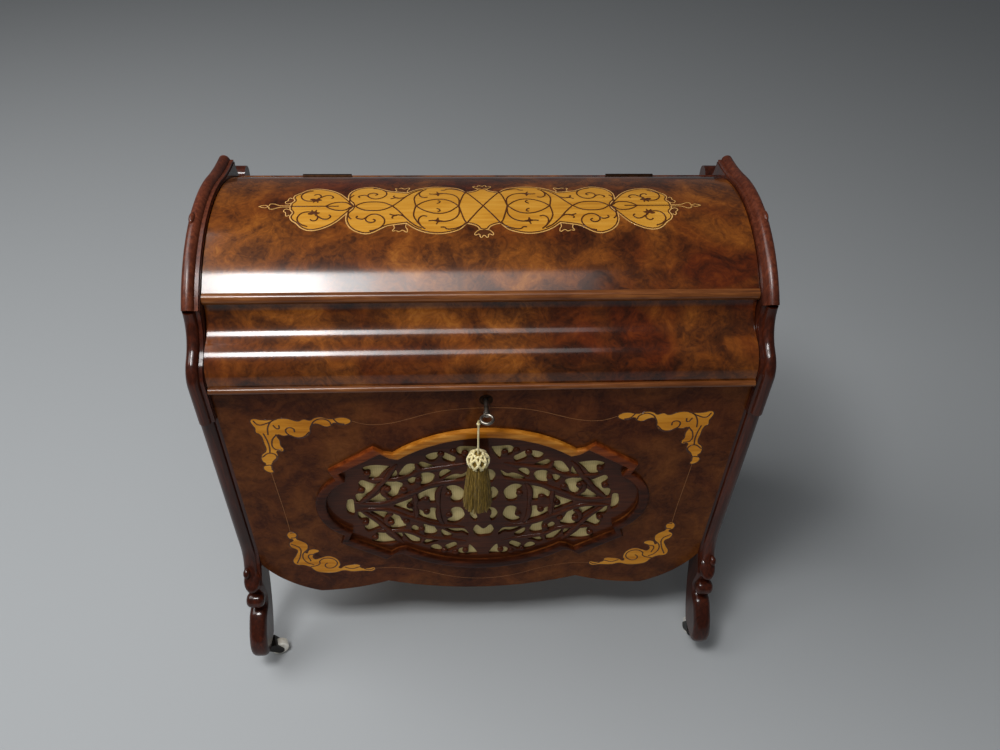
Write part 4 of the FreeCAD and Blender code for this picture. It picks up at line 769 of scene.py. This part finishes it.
UPPER_CORNER = [
    (-267, 449), (-264, 452), (-254, 450), (-242, 450), (-233, 452), (-224, 451), (-214, 447),
    (-207, 450), (-200, 448), (-196, 451), (-188, 453), (-179, 450), (-174, 450), (-166, 452),
    (-157, 450), (-154, 446), (-158, 441), (-166, 440), (-174, 443), (-177, 439), (-184, 437),
    (-191, 441), (-196, 442), (-201, 437), (-203, 427), (-210, 420), (-219, 419), (-226, 424),
    (-234, 423), (-240, 425), (-239, 415), (-239, 406), (-237, 402), (-238, 397), (-245, 397),
    (-245, 390), (-248, 382), (-254, 376), (-256, 366), (-255, 360), (-261, 360), (-266, 368),
    (-262, 375), (-265, 380), (-264, 391), (-258, 398), (-258, 412), (-261, 427), (-264, 429),
    (-264, 437), (-266, 442),
]
LOWER_CORNER = [
    (-257, 238), (-250, 241), (-245, 234), (-247, 225), (-241, 220), (-235, 213), (-235, 204),
    (-239, 193), (-234, 200), (-225, 201), (-221, 197), (-229, 190), (-229, 179), (-222, 181),
    (-211, 185), (-201, 180), (-196, 165), (-198, 156), (-192, 160), (-183, 163), (-170, 162),
    (-169, 156), (-159, 154), (-150, 155), (-152, 148), (-166, 148), (-182, 147), (-193, 150),
    (-204, 146), (-221, 146), (-231, 150), (-238, 160), (-246, 165), (-256, 167), (-259, 175),
    (-253, 189), (-250, 200), (-257, 207), (-258, 216), (-252, 223), (-257, 227),
]
CORNER_SCROLLS = [
    [(-264, 449), (-259, 442), (-250, 444), (-241, 449)],
    [(-251, 425), (-249, 438), (-243, 448), (-237, 451)],
    [(-243, 441), (-238, 435), (-236, 441)],
    [(-203, 429), (-213, 420), (-225, 423), (-230, 431), (-227, 436), (-221, 435), (-220, 429)],
    [(-201, 437), (-195, 447), (-186, 450), (-179, 446), (-177, 440)],
    [(-174, 450), (-169, 443), (-162, 441)],
    [(-256, 428), (-253, 412), (-253, 400), (-254, 394)],
    [(-241, 426), (-248, 415), (-247, 401), (-239, 399)],
    [(-264, 387), (-254, 394), (-247, 389), (-253, 378)],
    [(-263, 372), (-256, 372), (-256, 364)],
    [(-254, 238), (-247, 238), (-247, 229), (-254, 227)],
    [(-256, 214), (-246, 205), (-247, 189), (-254, 170)],
    [(-235, 202), (-244, 189), (-241, 172), (-232, 165)],
    [(-229, 190), (-236, 188), (-235, 174)],
    [(-238, 160), (-224, 167), (-223, 174), (-211, 180), (-201, 173), (-203, 161), (-214, 157),
     (-217, 164), (-213, 169)],
    [(-191, 158), (-182, 154), (-170, 158)],
    [(-165, 153), (-157, 150), (-151, 153)],
]
HALF_STRINGS = [
    [(-154, 446), (-142, 441), (-130, 439), (-110, 441), (-87, 448), (-64, 456), (-41, 461), (-15, 463),
     (0, 463.3)],
    [(-150, 153), (-126, 154), (-102, 150), (-78, 143), (-53, 132), (-25, 124), (0, 121.5)],
    [(-258, 360), (-256, 320), (-254, 280), (-253, 240)],
]
FRONT_PRESS = 0.12
corner_outlines = mirrored([UPPER_CORNER, LOWER_CORNER])
corner_inlay = drawing(corner_outlines, closed=True, **FILL)
corner_engraving = drawing(mirrored(CORNER_SCROLLS), closed=False, **stroke(width=1.9))
corner_edging = drawing(corner_outlines, closed=True, **stroke(width=1.5))
strings = drawing(mirrored(HALF_STRINGS), closed=False, **stroke(width=0.7))
inlay("front_marquetry", corner_inlay, on_panel, toned_satinwood, lift=0.08)
inlay("front_marquetry_lines", corner_engraving, on_panel, scorched_line, lift=0.12, press=FRONT_PRESS)
inlay("front_marquetry_edging", corner_edging, on_panel, scorched_line, lift=0.11, press=FRONT_PRESS)
inlay("front_stringing", strings, on_panel, dull_string, lift=0.08, press=FRONT_PRESS)


# Carving on the fret's bars: rounded ridges and the round buds that end the scrolls, drawn for a quarter

FRET_RIDGES = [
    [(164, 8), (149, 6), (131, 6), (119, 10), (100, 22), (86, 29), (69, 39), (52, 44), (39, 46),
     (25, 48)],
    [(159, 6), (151, 15), (140, 28), (130, 43), (122, 54), (114, 69), (107, 80)],
    [(127, 51), (115, 52), (102, 54), (92, 59), (81, 67), (68, 70), (57, 72), (40, 75), (24, 79)],
    [(53, 40), (58, 27), (59, 14), (58, 0)],
    [(88, 26), (87, 13), (88, 0)],
    [(84, 80), (81, 72), (80, 66)],
    [(122, 54), (132, 52), (142, 53)],
    [(123, 41), (127, 32), (125, 22), (118, 16)],
]
FRET_BUDS = [
    (144, 65), (154, 33), (121, 34), (101, 32), (82, 50), (38, 102), (53, 98), (45, 21), (74, 13),
    (24, 99), (95, 0),
]
RIDGE_WIDTH, RIDGE_TAPER, RIDGE_PRESS = 8.0, 0.5, 0.42
BUD_RADIUS, BUD_PRESS = 4.6, 0.7
quarters = mirrored(doubled(FRET_RIDGES))
ridges = drawing(quarters, closed=False, end_radius=RIDGE_TAPER, **stroke(width=RIDGE_WIDTH))
inlay("fret_carved_ridges", ridges, on_fret, slot_material["fret_walnut"], lift=0.0, press=RIDGE_PRESS)
bud_shape = bmesh.new()
for across, up in sum(mirrored(doubled([FRET_BUDS])), []):
    ball = bmesh.ops.create_uvsphere(bud_shape, u_segments=12, v_segments=8, radius=BUD_RADIUS * MM)
    bmesh.ops.translate(bud_shape, verts=ball["verts"], vec=(across * MM, up * MM, 0.0))
bud_drawing = bpy.data.meshes.new("buds")
bud_shape.to_mesh(bud_drawing)
inlay("fret_carved_buds", bud_drawing, on_fret, slot_material["fret_walnut"], lift=0.0, press=BUD_PRESS)


# Scroll feet with softened edges, in place of the square solids; outlines in depth and height

FOOT_INNER, FOOT_OUTER = (corner[0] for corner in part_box("front_right_foot"))
FOOT_WIDTH = FOOT_OUTER - FOOT_INNER
FOOT_ROUND = 8.0 * MM
FRONT_FOOT = [
    (-104, 160, 1), (-150, 160, 1), (-157.5, 149), (-157, 130), (-156.5, 107), (-173, 100),
    (-187.5, 88), (-198.5, 74), (-204.5, 58), (-203, 44), (-197, 36.5), (-188, 34), (-160, 34, 1),
    (-142, 57), (-126, 86), (-113, 118),
]
REAR_FOOT = [
    (192.5, 160, 1), (195, 105), (203.5, 62), (203.5, 46), (198, 36.5), (190, 34), (160, 34, 1),
    (148, 62), (144, 92), (141, 122), (140, 160, 1),
]
VOLUTE_DEPTH, VOLUTE_HEIGHT, VOLUTE_RADIUS, VOLUTE_ROUND = -161.0, 121.0, 10.8, 7.5
SAME_LEVEL = 1e-6


def turned_upright(shape, side):
    """Stand a flat drawing of depth and height in the middle of the foot's width, at the left or right."""
    middle = side * (FOOT_INNER + FOOT_WIDTH / 2)
    for vertex in shape.verts:
        depth, height, across = vertex.co
        vertex.co = (middle + across, depth, height)
    bmesh.ops.recalc_face_normals(shape, faces=shape.faces)


def foot(name, outline, side, scroll):
    """A foot with rounded edges, and under the moulding of a front one the rolled scroll across it."""
    shape = bmesh.new()
    block = drawing([outline], closed=True, fill_mode="BOTH", extrude=FOOT_WIDTH / 2 - FOOT_ROUND,
                    bevel_depth=FOOT_ROUND, bevel_resolution=3, offset=-FOOT_ROUND)
    shape.from_mesh(block)
    if scroll:
        roll = bmesh.ops.create_cone(shape, cap_ends=True, segments=40, radius1=VOLUTE_RADIUS * MM,
                                     radius2=VOLUTE_RADIUS * MM, depth=FOOT_WIDTH)["verts"]
        bmesh.ops.translate(shape, verts=roll, vec=(VOLUTE_DEPTH * MM, VOLUTE_HEIGHT * MM, 0.0))
        of_roll = set(roll)
        rims = [e for e in shape.edges if of_roll.issuperset(e.verts)
                and abs(e.verts[0].co.z - e.verts[1].co.z) < SAME_LEVEL]
        bmesh.ops.bevel(shape, geom=rims, offset=VOLUTE_ROUND * MM, offset_type="OFFSET", affect="EDGES",
                        segments=6, profile=0.5, material=-1)
    turned_upright(shape, side)
    mesh = bpy.data.meshes.new(name)
    shape.to_mesh(mesh)
    return finished(name, mesh, slot_material["dark_walnut"], "case", "dark_walnut")


def swelling(name, side, centre, reach, lean, wood):
    """An egg of walnut that rounds off a moulding or swells from its edge, leaning back by some degrees."""
    shape = bmesh.new()
    bmesh.ops.create_uvsphere(shape, u_segments=28, v_segments=18, radius=MM)
    bmesh.ops.scale(shape, verts=shape.verts, vec=reach)
    bmesh.ops.rotate(shape, verts=shape.verts, matrix=Matrix.Rotation(-math.radians(lean), 3, "X"))
    across, depth, height = centre
    bmesh.ops.translate(shape, verts=shape.verts, vec=Vector((side * across, depth, height)) * MM)
    mesh = bpy.data.meshes.new(name)
    shape.to_mesh(mesh)
    return finished(name, mesh, wood, "case", "dark_walnut")


# For each swelling its centre at the right, its half sizes before it leans, its lean and its wood
SWELLINGS = {
    "leg_moulding_end": ((314.0, -153.5, 157.5), (11.2, 6.0, 17.5), 52, slot_material["dark_walnut"]),
    "leg_leaf": ((319.5, -152.0, 171.0), (4.5, 4.5, 7.0), 52, slot_material["dark_walnut"]),
    "crest_leaf": ((316.0, -15.7, 639.0), (3.2, 3.5, 8.0), 75, top_lit_walnut),
}
for label, side in (("left", -1), ("right", 1)):
    for kind, (centre, reach, lean, wood) in SWELLINGS.items():
        swelling(f"{label}_{kind}", side, centre, reach, lean, wood)
    front_foot = foot(f"front_{label}_scroll_foot", FRONT_FOOT, side, scroll=True)
    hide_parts(f"front_{label}_foot")
    rear_foot = foot(f"rear_{label}_scroll_foot", REAR_FOOT, side, scroll=False)
    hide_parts(f"rear_{label}_foot")


# Floor and light

floor_shape = bmesh.new()
bmesh.ops.create_grid(floor_shape, x_segments=1, y_segments=1, size=6.0)
floor_mesh = bpy.data.meshes.new("floor")
floor_shape.to_mesh(floor_mesh)
floor = bpy.data.objects.new("floor", floor_mesh)
# A pale matt floor with no pattern
floor_paint = blank("pale_floor", Roughness=0.95, Base_Color=linear("#a2a5a7"))[0]
floor.data.materials.append(floor_paint)
collection.objects.link(floor)


def softbox(name, place, target, width, depth, watts):
    """A rectangular lamp at a place, turned to face its target."""
    lamp = bpy.data.lights.new(name, "AREA")
    lamp.shape = "RECTANGLE"
    lamp.size = width
    lamp.size_y = depth
    lamp.energy = watts
    item = bpy.data.objects.new(name, lamp)
    item.location = place
    item.rotation_euler = (Vector(target) - Vector(place)).to_track_quat("-Z", "Y").to_euler()
    collection.objects.link(item)
    return item


# A row of panels, brightest near its left end, so that the highlight fades as it does in the photograph
PANELS, PANEL_STEP, PANEL_DEPTH, PANEL_WATTS = 9, 0.14, 0.45, 8.6
ROW_START, ROW_Y, ROW_HEIGHT, ROW_AIM_Y = -0.78, -0.66, 2.1, -0.3
BRIGHTEST, FADE = -0.62, 0.2
for step in range(PANELS):
    across = ROW_START + step * PANEL_STEP
    share = 1.0 / (1.0 + ((across - BRIGHTEST) / FADE) ** 2)
    softbox(f"ceiling_panel_{step}", place=(across, ROW_Y, ROW_HEIGHT), target=(across, ROW_AIM_Y, 0.0),
            width=PANEL_STEP, depth=PANEL_DEPTH, watts=PANEL_WATTS * share)
front_fill = softbox(
    "front_fill", place=(-0.3, -2.4, 1.1), target=(0.0, 0.0, 0.25), width=1.6, depth=0.9, watts=9)
front_fill.visible_glossy = False
softbox("room_fill", place=(-1.9, 0.1, 2.7), target=(0.0, 0.0, 0.2), width=1.8, depth=1.8, watts=50)
world = bpy.data.worlds.new("studio")
world.use_nodes = True
background = world.node_tree.nodes["Background"]
background.inputs["Color"].default_value = linear("#c9ccd0")
background.inputs["Strength"].default_value = 0.14
bpy.context.scene.world = world

bpy.context.scene.view_settings.view_transform = "Standard"
